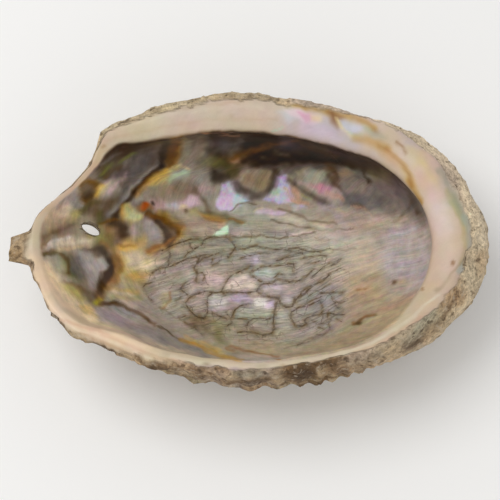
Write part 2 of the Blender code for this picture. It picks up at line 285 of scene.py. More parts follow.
SMOKY_END = (
    ("khaki", 12, 0.85, "60,214 100,216 130,212 200,214 214,232 180,250 150,262 120,262 90,250 60,246"),
    ("nacre", 8, 0.8, "184,138 205,140 212,158 205,185 190,186 182,165"),
    ("khaki", 7, 0.8, "146,186 166,182 190,184 204,190 198,198 176,200 150,200"),
    ("ash", 4, 0.8, "102,163 112,155 121,153 114,160 105,166"),
    ("smoke", 4, 1, "98,178 108,163 122,154 140,147 160,141 168,142 166,158 158,169 148,180 138,188 "
     "130,198 121,204 114,214 108,223 98,222 96,210 104,200 112,194 122,186 127,178 112,180"),
    ("umber", 5, 0.75, 5, "108,164 120,156 134,150 150,145"),
    ("slate", 5, 0.5, 8, "128,176 140,168 152,156"),
    ("pale smoke", 5, 0.95, 8, "160,166 148,177 136,187 124,198 116,208 110,220"),
    ("ash", 4, 0.7, 4, "154,170 142,179 130,190 122,199"),
    ("olive", 4, 0.95, "97,176 104,165 113,160 120,157 118,166 109,173 102,179"),
    ("moss", 3, 0.75, 4, "101,174 107,169 113,164"),
    ("moss", 3, 0.8, 4, "121,161 128,157 135,153"),
    ("bark", 4, 0.75, 4, "104,178 112,172 120,166"),
    ("bark", 5, 0.85, "88,203 100,198 112,195 118,194 113,205 104,216 92,216 84,212"),
    ("blush", 4, 0.95, "99,187 107,181 118,177 127,174 125,180 117,188 109,194 100,193"),
    ("pale cream", 4, 0.7, "102,186 110,181 119,178 112,187 104,190"),
    ("dark amber", 4, 1, "77,183 84,178 95,179 100,184 97,194 92,202 86,206 80,200"),
    ("smoke", 4, 0.8, "80,188 86,184 92,187 93,194 88,200 82,197"),
    ("umber", 3, 0.7, "83,193 90,192 91,199 86,203 82,199"),
    ("bright gold", 4, 0.9, 4, "96,197 98,191 101,187"),
    ("straw", 3, 0.75, "99,188 105,187 103,193 98,195"),
    ("pale smoke", 5, 0.85, "68,198 74,192 80,198 80,208 72,210 64,206"),
    ("pale cream", 5, 0.85, "56,208 66,203 72,208 66,214 56,216"),
    ("pale olive", 5, 0.85, "58,216 68,211 80,211 82,218 70,223 58,222"),
    ("olive", 5, 0.7, 6, "82,212 90,206 96,202"),
    ("straw", 5, 0.6, "62,213 72,209 80,214 76,221 66,222"),
    ("amber", 6, 0.81, 8, "166,170 156,179 146,186 136,193"),
    ("umber", 4, 0.95, 4.5, "161,165 153,174 144,182 136,189 130,198 121,204 117,212 112,222"),
    ("dark amber", 3, 0.7, 3, "158,173 148,181 138,189"),
    # These three strokes below the shelf's left end are the nacre's dark amber with painted shade under the
    # shelf's edge
    ("dark amber", 7, 0.95, 11, "176,138 174,150 172,164"),
    ("soot", 6, 0.85, 7, "165,140 163,152 162,164"),
    ("amber", 6, 0.42, 4, "184,139 181,150 178,162"),
    ("straw", 4, 0.95, "150,185 158,177 168,170 177,167 172,177 162,184 154,188"),
    ("bright gold", 4, 0.7, 5, "150,184 158,178 166,171"),
    ("mint", 4, 1, "168,179 175,172 184,168 191,168 187,174 178,181 170,183"),
    ("butter", 3, 0.6, 3, "174,168 182,166 190,166"),
    ("sage", 5, 0.5, "151,187 166,185 164,196 150,196"),
    ("bark", 7, 0.45, "172,183 186,182 196,187 186,196 172,194"),
    ("blush", 4, 0.95, "195,187 203,184 212,186 214,191 206,194 197,192"),
    ("bark", 5, 0.75, 5, "193,190 200,197 206,206 210,212"),
    ("blush", 4, 0.95, "150,202 164,200 180,199 192,195 200,196 199,204 188,210 170,211 156,211"),
    ("pale pink", 4, 0.9, "182,201 190,197 198,196 200,201 192,206 184,206"),
    ("ice", 3, 0.75, "167,204 174,201 179,204 174,209 168,208"),
    ("butter", 2.5, 1, "182.5,206.3 4.2,3"),
    ("bark", 1.6, 0.85, "186.4,211.5 2.2,1.8"),
    ("pale olive", 4, 0.8, "189,209 196,209 198,217 190,218"),
    ("umber", 4, 0.6, "134,203 142,202 142,212 136,214"),
    ("ochre", 4, 0.75, 6, "138,208 144,209 151,209"),
    ("rust", 2.2, 1, "144.2,207.3 4.4,4.2"),
    ("ochre", 1.6, 0.55, "142,210.5 2.5,1.6"),
    ("soot", 1.2, 0.95, "153.4,204.6 1.8,1.6"),
    ("straw", 4, 0.95, "118,208 124,203 130,203 134,209 141,217 140,222 131,223 122,221"),
    ("amber", 6, 0.72, 5, "121,205 120,213 121,220"),
    ("mint", 4, 0.6, "127,209 133,210 139,217 133,221 127,217"),
    ("olive", 4, 0.75, "143,213 156,212 168,214 170,218 156,218 146,218"),
    ("ochre", 6, 0.6, "100,222 116,224 120,236 114,246 102,242 98,232"),
    ("umber", 5, 0.9, "104,219 116,218 128,222 131,232 126,241 118,240 114,230 106,225"),
    ("dark amber", 3, 0.8, 3, "100,222 108,220 116,221"),
    ("olive", 4, 0.85, "98,210 104,208 104,218 99,224 95,219"),
    ("pale olive", 5, 0.8, "88,233 100,231 112,240 104,247 92,246"),
    ("olive", 5, 0.5, "100,232 112,236 116,246 106,248"),
    # From here to the pale mauve patch: a grey patch with a dark brown right edge, a painted reflection of
    # dark surroundings in a glossy bump
    ("amber", 6, 0.72, 7, "160,215 172,219 180,227 180,236 172,243 160,248 150,251"),
    ("bark", 4.5, 1, 10, "148,217 160,220 169,226 173,233 168,240"),
    ("umber", 4, 0.8, 5, "156,221 165,226 168,233 165,239"),
    ("ochre", 3, 0.9, 4, "172,238 164,243 155,247 149,250"),
    ("dark amber", 3, 0.7, 4, "146,216 158,217 170,221 178,228 177,236"),
    ("ash", 3, 1, "130,231 134,223 143,218 152,221 158,227 164,236 158,241 150,246 142,243 135,238"),
    ("pale mauve", 4, 0.45, "140,223 150,223 156,231 150,237 142,232"),
    ("blush", 3, 0.75, "130,225 136,226 138,234 133,237 130,232"),
    ("gold", 5, 0.85, "122,240 132,238 142,235 148,242 144,250 130,253 120,248"),
    ("bright gold", 4, 0.9, 5, "120,247 128,249 135,249"),
    ("dark amber", 3, 0.5, 2.5, "118,244 126,246 134,247"),
    ("butter", 7, 0.8, "122,254 136,251 152,256 152,266 136,270 124,274 119,264"),
    ("pale cream", 4, 0.95, "128,256 136,253 143,257 140,263 130,263"),
    ("peach", 4, 0.8, 4, "136,266 148,264 162,261"),
    ("gold", 6, 0.9, "126,269 138,268 150,273 148,282 134,283 126,278"),
    ("pale khaki", 7, 0.9, "102,282 122,279 142,283 146,296 128,303 110,301 100,294"),
    ("gold", 5, 0.6, 6, "104,286 120,290 136,291"),
    ("pale cream", 3, 0.45, 3, "106,291 120,293 134,294"),
    ("pale olive", 4, 0.5, 4, "112,299 126,297 140,299"),
    ("olive", 6, 0.85, "58,254 68,256 78,270 86,284 74,284 64,274"),
    ("gold", 5, 0.7, 6, "116,248 122,258 122,270 116,282"),
    ("russet", 6, 0.7, 8, "100,244 112,250 118,260 119,270 115,280 106,290 100,297"),
    ("ochre", 4, 0.9, 6, "112,258 114,268 111,278 104,288"),
    # The umber strokes and outline here, with the ash and pale mauve patches inside them, are a grey patch
    # with a dark brown right edge, a painted reflection of dark surroundings in a glossy bump
    ("umber", 5, 0.9, 8, "102,251 109,257 112,267 108,278 102,288"),
    ("umber", 4, 1, "82,249 94,244 106,249 112,257 113,268 108,278 102,286 98,282 103,272 108,265 "
     "103,259 97,258 90,253"),
    ("slate", 4, 0.9, "68,258 78,256 86,268 87,280 78,278 71,270"),
    ("ash", 3, 1, "76,252 84,250 91,254 96,262 102,259 109,264 105,269 101,273 99,282 95,291 89,288 "
     "85,280 83,270 79,262"),
    ("pale mauve", 4, 0.4, "86,262 93,262 97,270 95,282 90,282 87,272"),
    ("umber", 3, 0.6, 3, "101,272 100,280 98,290"),
    ("mauve", 6, 0.6, "56,274 68,276 84,284 76,289 58,284"),
    ("bark", 5, 0.95, "66,283 80,284 92,290 98,285 103,290 99,298 90,301 78,295"),
    ("pale olive", 4, 0.95, "60,284 70,286 80,291 87,298 84,304 74,300 64,294"),
    ("olive", 4, 0.6, "84,296 92,298 96,306 88,306"),
    ("lime", 3, 1, "98.5,301.5 5,4"),
    ("gold", 4, 0.6, "82,306 90,304 96,310 94,317 86,314"),
)

NOTCH = (
    ("bark", 2.5, 0.8, 4, "34,254 45,252 56,252 64,256 68,264 70,272"),
    ("sage", 5, 0.6, "40,256 52,254 62,258 66,268 54,272 42,266"),
    # The two peach patches here are painted light: they brighten the lower left wall, which faces away from
    # the key lamp and lies in shade
    ("bright peach", 8, 1, "30,256 46,262 60,276 66,292 82,304 100,316 124,330 112,342 70,330 48,312 "
     "34,290"),
    ("bright peach", 7, 0.9, "32,264 46,266 56,278 62,294 78,308 98,320 90,332 60,318 40,296"),
    ("gold", 3, 0.5, "80,306 88,305 96,310 94,317 84,314"),
    ("salmon", 2, 0.6, "43.5,289.5 3,3"),
    ("tan", 7, 1, "28,222 36,212 56,206 72,212 74,222 56,224 36,230"),
    ("pale cream", 6, 0.8, "54,212 64,206 72,210 68,218 58,220"),
    ("khaki", 7, 1, "32,228 46,222 66,220 78,224 70,232 52,238 44,250 33,248"),
    # This bark stroke along the siphon channel is partly the shell's brown and partly painted shade in the
    # groove
    ("bark", 7, 0.75, 6, "36,238 48,234 60,229 72,226"),
    ("crumb", 6, 0.6, 6, "35,247 42,244 50,240"),
    ("pale smoke", 6, 0.5, "60,226 76,224 84,230 74,234 62,232"),
    ("pale cream", 4, 0.95, "46,246 56,241 70,234 84,235 92,240 84,244 66,246 54,249"),
    ("white", 3, 0.6, 3, "50,243 60,239 70,235"),
    ("light tan", 4, 0.9, 4, "57,251 68,249 80,246 88,246"),
    ("olive", 4, 0.8, 3, "36,254 46,253 56,253"),
    ("light tan", 3, 0.95, 6, "34,214 31,228 30,244 33,256 40,264"),
)

LOWER_LEFT = (
    ("pale smoke", 10, 0.75, "96,308 124,308 150,322 184,338 214,354 200,362 160,352 124,336 100,322"),
    ("pale mauve", 6, 0.45, "98,309 124,310 136,320 120,326 100,320"),
    ("cream", 6, 0.85, 9, "96,324 116,330 140,340 166,350 196,358"),
    ("pale smoke", 5, 0.5, 6, "140,326 164,338 188,350 208,358"),
    ("bark", 2.5, 0.95, 4, "101,303 112,304 122,306 131,310 142,317 154,323"),
    ("crack", 1.6, 0.8, 2, "158,325 168,331 178,338"),
    ("amber", 2.5, 0.85, 4, "178,338 195,345 210,351 226,357 241,361"),
    ("gold", 4, 0.5, 5, "186,336 204,344 222,352"),
    ("russet", 1.6, 0.6, 2, "224,347 245,350 262,353 279,358"),
    ("mauve", 4, 0.6, "228,353 252,355 272,359 262,363 240,362"),
    ("crack", 1.2, 0.5, 1.6, "284,349 299,345 313,338"),
    ("khaki", 2, 0.5, 2, "240,342 270,346 300,343"),
    ("crack", 1.6, 0.35, 1.6, "160,306 176,318 190,324"),
    ("olive", 6, 0.3, "196,312 224,318 228,344 206,334 190,320"),
    ("moss", 4, 0.35, "214,320 224,324 226,346 216,344"),
    ("bark", 5, 0.4, "184,314 198,318 206,330 192,326"),
)

DOMES = (
    ("khaki", 4, 0.95, "241,174 250,170 266,169 273,174 270,184 262,190 250,189 242,184"),
    ("smoke", 4, 0.8, "240,188 250,192 262,192 264,196 258,200 248,201 242,196"),
    # Painted highlight: the lilac, ice, orchid and sea patches down to the next pale sage are the bright
    # iridescent glint on the first nacre dome
    ("lilac", 2, 1, "223,185 230,181 238,181 240,187 244,194 249,200 243,204 238,208 230,210 221,209 "
     "216,205 218,199 222,192"),
    ("ice", 2.5, 0.7, "228,184 236,183 238,190 232,194 227,190"),
    ("orchid", 2.5, 0.9, "218,200 224,194 232,196 234,203 228,208 220,207"),
    ("sea", 2.5, 0.9, "234,194 240,191 247,199 241,203 235,205 233,199"),
    ("pale sage", 3, 0.8, "231,208 240,203 250,202 257,206 250,212 238,214"),
    ("crack", 1.2, 0.6, 1.8, "231,209 238,203 247,201 256,205"),
    # Painted highlight: the violet, ice, mint and lilac patches here are the bright iridescent glint on the
    # second dome
    ("violet", 2, 1, "275,174 281,171 286,176 289,184 289,191 293,197 290,203 278,204 268,203 262,200 "
     "265,195 269,189 273,183"),
    ("ice", 2.5, 0.8, "274,187 284,184 288,192 288,200 276,202 270,198"),
    ("mint", 2.5, 0.95, "268,192 273,187 278,190 277,196 271,198"),
    ("lilac", 2, 0.7, "274,178 283,176 286,183 276,185"),
    ("salmon", 3, 0.85, "289,187 296,188 301,194 300,202 293,198"),
    ("orchid", 2.5, 0.7, "284,196 292,196 296,202 286,204"),
    ("salmon", 2.5, 0.7, 3, "290,201 300,204 308,206"),
    ("ice", 2.5, 0.7, "288,206 300,205 306,209 294,212"),
    ("pale sage", 4, 0.85, "296,174 304,170 320,169 332,171 330,180 318,184 302,184"),
    ("khaki", 3, 0.5, "296,172 303,171 302,181 297,182"),
    ("blush", 4, 0.75, "300,184 316,182 332,184 342,194 340,201 326,198 310,192"),
    ("pink", 3, 0.9, "313,185 322,183 330,188 328,194 318,193"),
    ("salmon", 2.5, 0.6, 4, "326,193 334,196 342,198"),
    ("smoke", 3, 0.85, 5, "279,173 287,171 294,175 296,184"),
    ("pale olive", 1.6, 0.6, 2, "302,197 311,201"),
    ("bark", 4, 0.85, "327,164 336,164 341,176 340,190 334,186 329,176"),
    ("khaki", 3, 0.8, "339,171 348,169 355,173 353,180 343,180"),
    ("nacre", 4, 0.8, "342,180 356,178 365,184 362,192 350,192 343,188"),
    ("umber", 1.2, 0.8, "367,182 1.6,1.8"),
    ("slate", 5, 0.7, "344,194 362,193 382,200 382,208 362,208 350,204"),
    ("bark", 3, 0.6, "350,203 360,204 368,210 358,211"),
    ("salmon", 1.8, 0.5, 2, "350,205 361,209 372,215"),
    ("pale olive", 5, 0.4, "368,171 380,168 391,172 390,181 374,182"),
    ("umber", 2.5, 0.6, 3, "365,168 365,176 370,182"),
    ("bark", 3, 0.35, 3, "412,203 404,213 395,222"),
    ("bark", 4, 0.3, "416,212 426,212 428,230 420,228"),
    ("umber", 6, 0.75, 8, "275,172 273,181 267,189 258,194 248,195 240,190 236,184"),
    ("umber", 7, 0.65, 5, "288,180 297,188 306,194 316,199 326,202"),
    ("khaki", 4, 0.6, "246,173 266,171 270,180 262,187 250,186"),
    ("salmon", 4, 0.6, 4, "284,190 289,197 296,202 304,205"),
)

FLOW = (
    ("warm nacre", 6, 0.6, "244,208 290,206 340,206 390,214 420,224 380,236 320,232 270,226 244,220"),
    ("pale sage", 3, 0.7, "243,212 262,210 272,216 262,222 246,220"),
    ("orchid", 3, 0.65, 4, "255,213 268,212 284,213"),
    ("butter", 2, 0.5, 2, "252,211 262,210"),
    ("pale cream", 3.5, 0.5, 3, "268,216 288,218 306,222 324,227"),
    ("crack", 1.4, 0.75, 2, "271,220 284,223 308,227 330,229 352,229"),
    ("crack", 2, 0.55, 2.4, "279,209 298,215 316,221 336,224"),
    ("pale sage", 2, 0.7, 3, "312,226 324,228 336,230"),
    ("crack", 1.4, 0.75, 2, "232,236 250,236 266,238 286,237 304,234 316,231"),
    ("pale pink", 2.5, 0.6, 2.4, "288,236 300,233 311,231"),
    ("smoke", 3, 0.4, "250,229 270,228 292,230 286,235 262,235"),
    ("mauve", 4, 0.5, "232,226 248,224 252,232 240,236 230,233"),
    ("olive", 2.5, 0.75, "199,211 214,211 228,215 244,221 240,225 226,222 212,218"),
    ("amber", 3, 0.85, "198,214 208,213 220,217 226,223 218,224 206,220"),
    ("russet", 1.4, 0.5, 1.6, "203,216 209,219 214,221 221,223"),
    ("ochre", 2, 0.7, 3, "228,220 236,221 242,223"),
    ("salmon", 2.5, 0.7, "215,225 223,223 225,228 218,229"),
    ("warm nacre", 6, 0.7, "172,214 196,216 214,226 208,236 190,240 184,228"),
    # Painted highlight: the small bright mint triangle is a glint on the nacre
    ("bright mint", 1.3, 1, "228,226.5 221,228.5 211,235 219,236.5 228.5,235.5"),
    ("violet", 4, 0.35, "318,200 332,202 334,212 320,212"),
    ("violet", 4, 0.3, "332,214 346,216 346,224 334,222"),
    ("blush", 3, 0.5, 3, "340,212 362,216 384,219 408,220"),
    ("pale cream", 3, 0.3, 3, "352,222 376,224 400,226"),
    ("pale khaki", 2.5, 0.5, 3, "330,208 350,213 368,218"),
    ("sea", 5, 0.4, "326,234 338,234 344,241 332,243"),
    ("crack", 1.6, 0.5, 2, "296,247 320,250 340,250 356,248"),
    ("khaki", 3, 0.5, 3, "316,238 336,240 352,243"),
)

RIGHT_BOWL = (
    ("pale mauve", 7, 0.7, "390,258 406,256 410,272 402,282 391,276"),
    ("pale mauve", 7, 0.4, "392,232 420,232 424,252 404,252"),
    ("pale mauve", 3, 0.5, 3, "404,291 414,289 421,280 425,266"),
    ("pale olive", 5, 0.5, "402,283 10,4"),
    ("bark", 1.8, 0.8, "393.5,282 3.2,2.4"),
    ("tan", 12, 0.6, "348,250 366,244 378,256 378,286 366,300 348,298"),
    ("clay", 3, 0.5, "363,289 8,3.4"),
    ("russet", 1.4, 0.6, "360,289.5 2.5,1.3"),
    ("russet", 1.4, 0.6, "366,288.5 1.8,1.2"),
    ("russet", 2, 0.75, 3, "353,323 360,322 363,318 369,316 377,315"),
    ("bark", 1.6, 0.8, "360,321.5 3,2.2"),
    ("nacre", 2, 0.5, 3, "366,319 376,318"),
    ("light tan", 2.5, 0.45, 2.5, "384,320 400,309 416,297"),
    ("light tan", 2.5, 0.4, 2.5, "374,334 396,322 414,308"),
    ("khaki", 2.5, 0.45, 2.5, "380,328 402,316 420,302"),
    ("khaki", 3, 0.4, 3, "344,345 372,336 396,322"),
    ("clay", 2, 0.4, "375,278 3,4"),
)

SCAR = (
    ("blush", 7, 0.55, "186,274 206,268 226,274 232,284 212,292 190,292"),
    ("pale pink", 4, 0.55, "206,276 218,275 226,280 218,284 208,283"),
    ("blush", 5, 0.5, "182,294 204,290 208,302 194,308 184,302"),
    ("violet", 4, 0.5, "230,294 246,294 250,301 238,304 230,300"),
    ("lilac", 4, 0.55, "244,256 258,254 260,262 250,266"),
    ("pale pink", 4, 0.75, "226,284 232,277 244,275 256,279 252,288 240,291 226,291"),
    ("orchid", 3, 0.85, "264,302 274,300 277,306 270,310 264,308"),
    ("blush", 4, 0.6, "262,286 280,283 298,284 304,288 290,292 272,293"),
    ("sage", 6, 0.5, "208,298 226,296 228,314 212,316"),
    ("ash", 4, 0.9, "208,297 222,295 228,300 228,312 214,315 208,308"),
    ("pale sage", 4, 0.8, "236,306 254,304 273,308 273,318 252,318 236,316"),
    ("pale sage", 5, 0.45, "276,312 292,308 292,330 276,334"),
    ("ash", 4, 0.6, "254,270 272,264 286,266 284,276 266,280 256,278"),
    ("slate", 4, 0.35, "210,238 228,238 230,246 214,246"),
    ("mint", 3, 0.35, "192,240 202,238 200,246 192,246"),
    ("smoke", 4, 0.3, "226,262 248,262 252,268 232,270"),
    ("ash", 5, 0.7, "316,290 334,286 340,300 330,312 318,306"),
    ("ash", 4, 0.5, "322,318 334,318 332,330 322,328"),
    ("bark", 4, 0.3, "140,282 152,280 158,290 148,294"),
    ("pale olive", 3, 0.5, "160,296 168,292 170,302 162,306"),
    ("russet", 2, 0.5, 2.4, "170,292 169,300 163,307"),
    ("pale cream", 4, 0.6, "223,290 226,282 234,276 248,275 256,280 254,289 240,291"),
    ("white", 4, 0.5, "207,304 208,296 216,292 226,294 229,300 226,308 214,310"),
    ("orchid", 4, 0.4, "230,293 248,292 250,300 232,301"),
    ("white", 3, 0.8, "252,298 260,294 267,299 264,306 255,306"),
    ("lilac", 5, 0.45, "260,286 276,284 284,290 278,296 262,294"),
    ("sea", 5, 0.5, "253,272 264,268 278,270 276,280 262,283"),
    ("pale mauve", 4, 0.7, "281,296 296,294 294,304 286,305"),
)

# Raised edges of the scar's scales, as thin brown lines: the strongest, the middling and the faint
STRONG_CRACKS = (
    "227.5,236 233,241 236,247 232.5,252 228,257",
    "257,291 262,296 270,297.5 278,298 280,303 287,307 293,307 296,302 295,298",
    "292,312 291,318 295,325 303,326 307,323 305,320 312,316 320,315", "170,252 170,257 168,262 169,266",
    "200,256 197,265 195,268 197.5,273 196,282", "300,297 308,290 317,283 325,278 330,273",
    "276,303 275,310 273,317.5", "228,325 232.5,322 233,316", "197,316 205,318 208,312",
    "331,266 336,263 340,259", "222,291 224,293.5",
)
MEDIUM_CRACKS = (
    "162,251 172,246 182,242 195,239 203,240 212,237 227,236",
    "190,244 190,247 193,250 198,248 202,245 204,241", "236,249 247,248 257,246 267,249 282,249 290,251",
    "152,273 160,269 169,267 178,263 188,259 198,257 207,255", "185,257 188,253 193,251",
    "223,252 213,255 203,259 197,265", "253,265 243,270 233,275 227,280 223,287 221,292",
    "212,292.5 222,292 233,292.5 247,292.5 257,291 259,287 264,284 273,282.5 277,279",
    "253,270 251,273 255,277 260,281 265,283", "277,279 290,282 300,280 307,275 313,270",
    "287,263 294,263 293,268 294,273", "277,260 287,257 297,253 302,252 305,256",
    "285,250 297,248 307,250 320,252", "295,302 300,295 303,290 312,285",
    "293,312 300,307 307,305 313,303 320,300", "320,300 323,307 322,315", "320,292 330,293 342,292",
    "330,293 333,298 337,307 340,308", "320,315 328,313 337,314 344,315",
    "273,317.5 267,319 253,318 249,322 247.5,326", "273,317.5 274,328 272,333 263,335 253,332.5 238,332",
    "233,316 235,310 240,306 247,305", "213,313 220,316 227,318",
    "185,302 190,297.5 197,294 207,291 212,292.5", "185,302 190,310 197,316",
    "208,312 207.5,303 207.5,297 212,292.5", "181,288 185,284 187,282.5", "181,289 188,294",
    "328,313 327.5,322 331,330 323,335 317,334",
)
FAINT_CRACKS = (
    "197.5,273 202.5,272.5 204,277 202.5,280", "213,259 212.5,265 218,263 220,261",
    "253,271 260,267.5 270,266 282,265 291,263", "275,277 279,273 284,275", "305,262.5 315,263 320,261",
    "142.5,288 145,284 153,282", "142.5,290 147,295 152,300", "298,345 307,342 315,338",
    "195,328 203,335", "185,322 192,328", "160,325 173,335", "233,318 242,318.5 250,318",
    "262,292 262,296", "308,296 318,290 330,284", "302,306 312,300 322,296", "312,320 318,324 330,322",
    "334,300 341,303 346,300", "334,272 340,268 346,270", "312,276 320,270 330,262",
    "240,258 256,254 268,254", "176,300 182,296", "226,312 230,316", "300,258 312,256 326,256",
    "180,318 186,316", "318,327 324,329", "336,318 342,322",
)
# Faint lines read as if this many times further away
CRACK_FADING = ((STRONG_CRACKS, 0.85), (MEDIUM_CRACKS, 1.15), (FAINT_CRACKS, 1.9))

SHELF = (
    ("rose cream", 26, 0.75, "150,96 400,96 400,180 250,132 150,138"),
    ("rose grey", 22, 1, "300,96 348,116 366,140 372,158 340,152 300,142 286,130"),
    ("peach", 14, 1, "396,136 440,160 470,210 478,250 462,304 428,328 418,300 428,240 416,190 394,168"),
    ("light tan", 9, 0.6, "420,288 440,276 452,286 430,318 410,322"),
    ("pale cream", 3, 0.45, 4, "104,130 140,122 180,113 220,108 262,107"),
    ("pale cream", 3, 0.4, 3, "110,146 150,138 190,131 230,128 270,129"),
    ("tan", 3, 0.35, 3, "108,140 150,130 200,121 250,119 276,120"),
    ("tan", 2.5, 0.45, 3, "104,133 130,123 160,114 200,105 240,103"),
    ("light tan", 2, 0.7, 3, "97,152 112,150 130,147 152,141 180,135 230,132"),
    ("salmon", 5, 0.4, "98,140 106,137 108,148 99,152"),
    # Painted highlight: the ice, pale pink, pink, butter and mint marks here are a glint on the shelf, pink
    # at its core
    ("ice", 4, 0.55, "276,112 290,108 300,118 288,124"),
    ("pale pink", 2.5, 0.95, "284,110 297,108 312,112 323,118 314,123 303,122 291,116"),
    ("pink", 2.5, 0.65, "298,112 312,113 318,119 306,122"),
    ("butter", 2.5, 0.7, "312,114 321,116 320,121 313,120"),
    ("mint", 1.6, 0.9, 2, "272,131 277,129 282,126"),
    ("orchid", 6, 0.4, "300,122 322,126 340,138 322,138 300,132"),
    ("orchid", 3, 0.6, "350,126 362,127 364,132 353,132"),
    ("mint", 3, 0.6, "360,121 370,125 374,132 364,131"),
    ("sage", 4, 0.7, "362,126 378,129 384,138 370,137"),
    ("rose grey", 4, 0.6, "392,124 410,134 420,148 406,146"),
    ("straw", 7, 0.6, "408,146 422,154 428,166 414,166"),
    ("straw", 7, 0.5, "424,162 438,176 438,188 426,180"),
    ("salmon", 8, 0.35, "414,168 428,178 428,194 416,190"),
    ("orchid", 9, 0.35, "430,196 450,204 456,232 436,236"),
    ("pale sage", 7, 0.5, "440,178 452,190 460,210 448,204"),
    ("pale olive", 4, 0.45, 7, "447,190 456,206 464,224 467,244 463,262"),
    ("sage", 4, 0.6, 6, "440,170 450,186 458,204 464,222"),
    ("pale sage", 3, 0.85, 7, "464,216 470,232 471,248 467,262 460,272"),
    ("sea", 3, 0.35, 3, "472,228 474,244 470,258"),
    ("khaki", 2.5, 0.5, 3, "462,262 452,274 444,284 436,292"),
    ("russet", 1.4, 0.7, "452.5,263.5 2,2.4"),
    ("russet", 1.2, 0.6, "423,290 1.4,1.6"),
    ("russet", 1.4, 0.45, "103,146 3,1.6"),
    ("tan", 1.4, 0.6, "230,117 2,1.4"),
    ("gold", 6, 0.8, 6, "286,103 304,106 318,110 332,114 346,116 360,120 374,128"),
    ("ochre", 5, 0.5, 4, "298,104 316,109 332,114"),
    ("ochre", 5, 0.4, 3, "352,118 364,122 376,131"),
    ("russet", 5, 0.9, "328,112 337,113 343,118 338,127 331,122"),
    # Painted highlight: the ice patch is a bluish white glint on the shelf
    ("ice", 4, 0.95, "341,122 351,121 362,127 362,134 353,136 344,130"),
    ("butter", 3.5, 0.75, 3, "337,119 342,128 350,135 358,137"),
    ("mint", 3, 0.6, 3, "348,131 354,135 363,134"),
    ("tan", 7, 0.5, "378,132 394,137 398,147 384,144"),
    ("amber", 7, 0.7, 8, "355,137 366,140 377,143 388,149"),
    ("gold", 8, 0.6, 8, "376,146 388,153 398,162 406,172 411,184"),
    ("amber", 5, 0.75, 5, "386,148 397,157 405,167 410,178 414,190 420,204"),
    ("ochre", 4, 0.4, 3, "378,145 390,151 400,161 408,174 412,186"),
    ("salmon", 6, 0.45, "379,150 392,152 400,162 398,170 388,162"),
    ("russet", 4, 0.6, 3, "396,141 402,146 407,153"),
)

LIP = (
    ("light tan", 4, 0.9, 9, "98,150 95,162 87,174 77,188 67,198 53,207 36,213"),
    # Painted light: this peach patch brightens the shaded lower left lip
    ("bright peach", 8, 0.9, "28,252 48,260 60,276 66,292 82,306 104,318 130,330 160,344 156,356 120,346 "
     "86,334 52,318 34,292"),
    ("pale cream", 3, 0.85, 5, "170,357 200,363 240,366 280,365 300,360 325,356 350,353"),
    ("blush", 2.5, 0.6, 4, "190,365 220,370 262,371 290,368"),
    ("mauve", 2.5, 0.8, "214,367 6,2.2"),
    ("bark", 2, 0.5, "206,364 3,1.5"),
    ("mauve", 2.5, 0.7, "236,369 5,2"),
    ("pale khaki", 2.5, 0.6, "262,367 6,2.5"),
    ("russet", 2, 0.4, "283,366 3,1.5"),
    ("salmon", 2.5, 0.35, 5, "352,355 372,348 390,339 406,328 420,317"),
    ("pale cream", 1.6, 0.95, 2.6, "300,357 330,353 356,349 372,343 388,334 402,324 416,313 430,302 "
     "440,294"),
    ("salmon", 3.5, 0.45, 4, "60,321 80,326 98,331 116,339 136,349 160,358 184,363"),
    ("clay", 2, 0.55, 2.5, "70,331 92,339 112,347 134,356 158,364 184,369"),
    ("cream", 5, 0.5, 5, "50,296 62,310 80,320 100,327"),
)

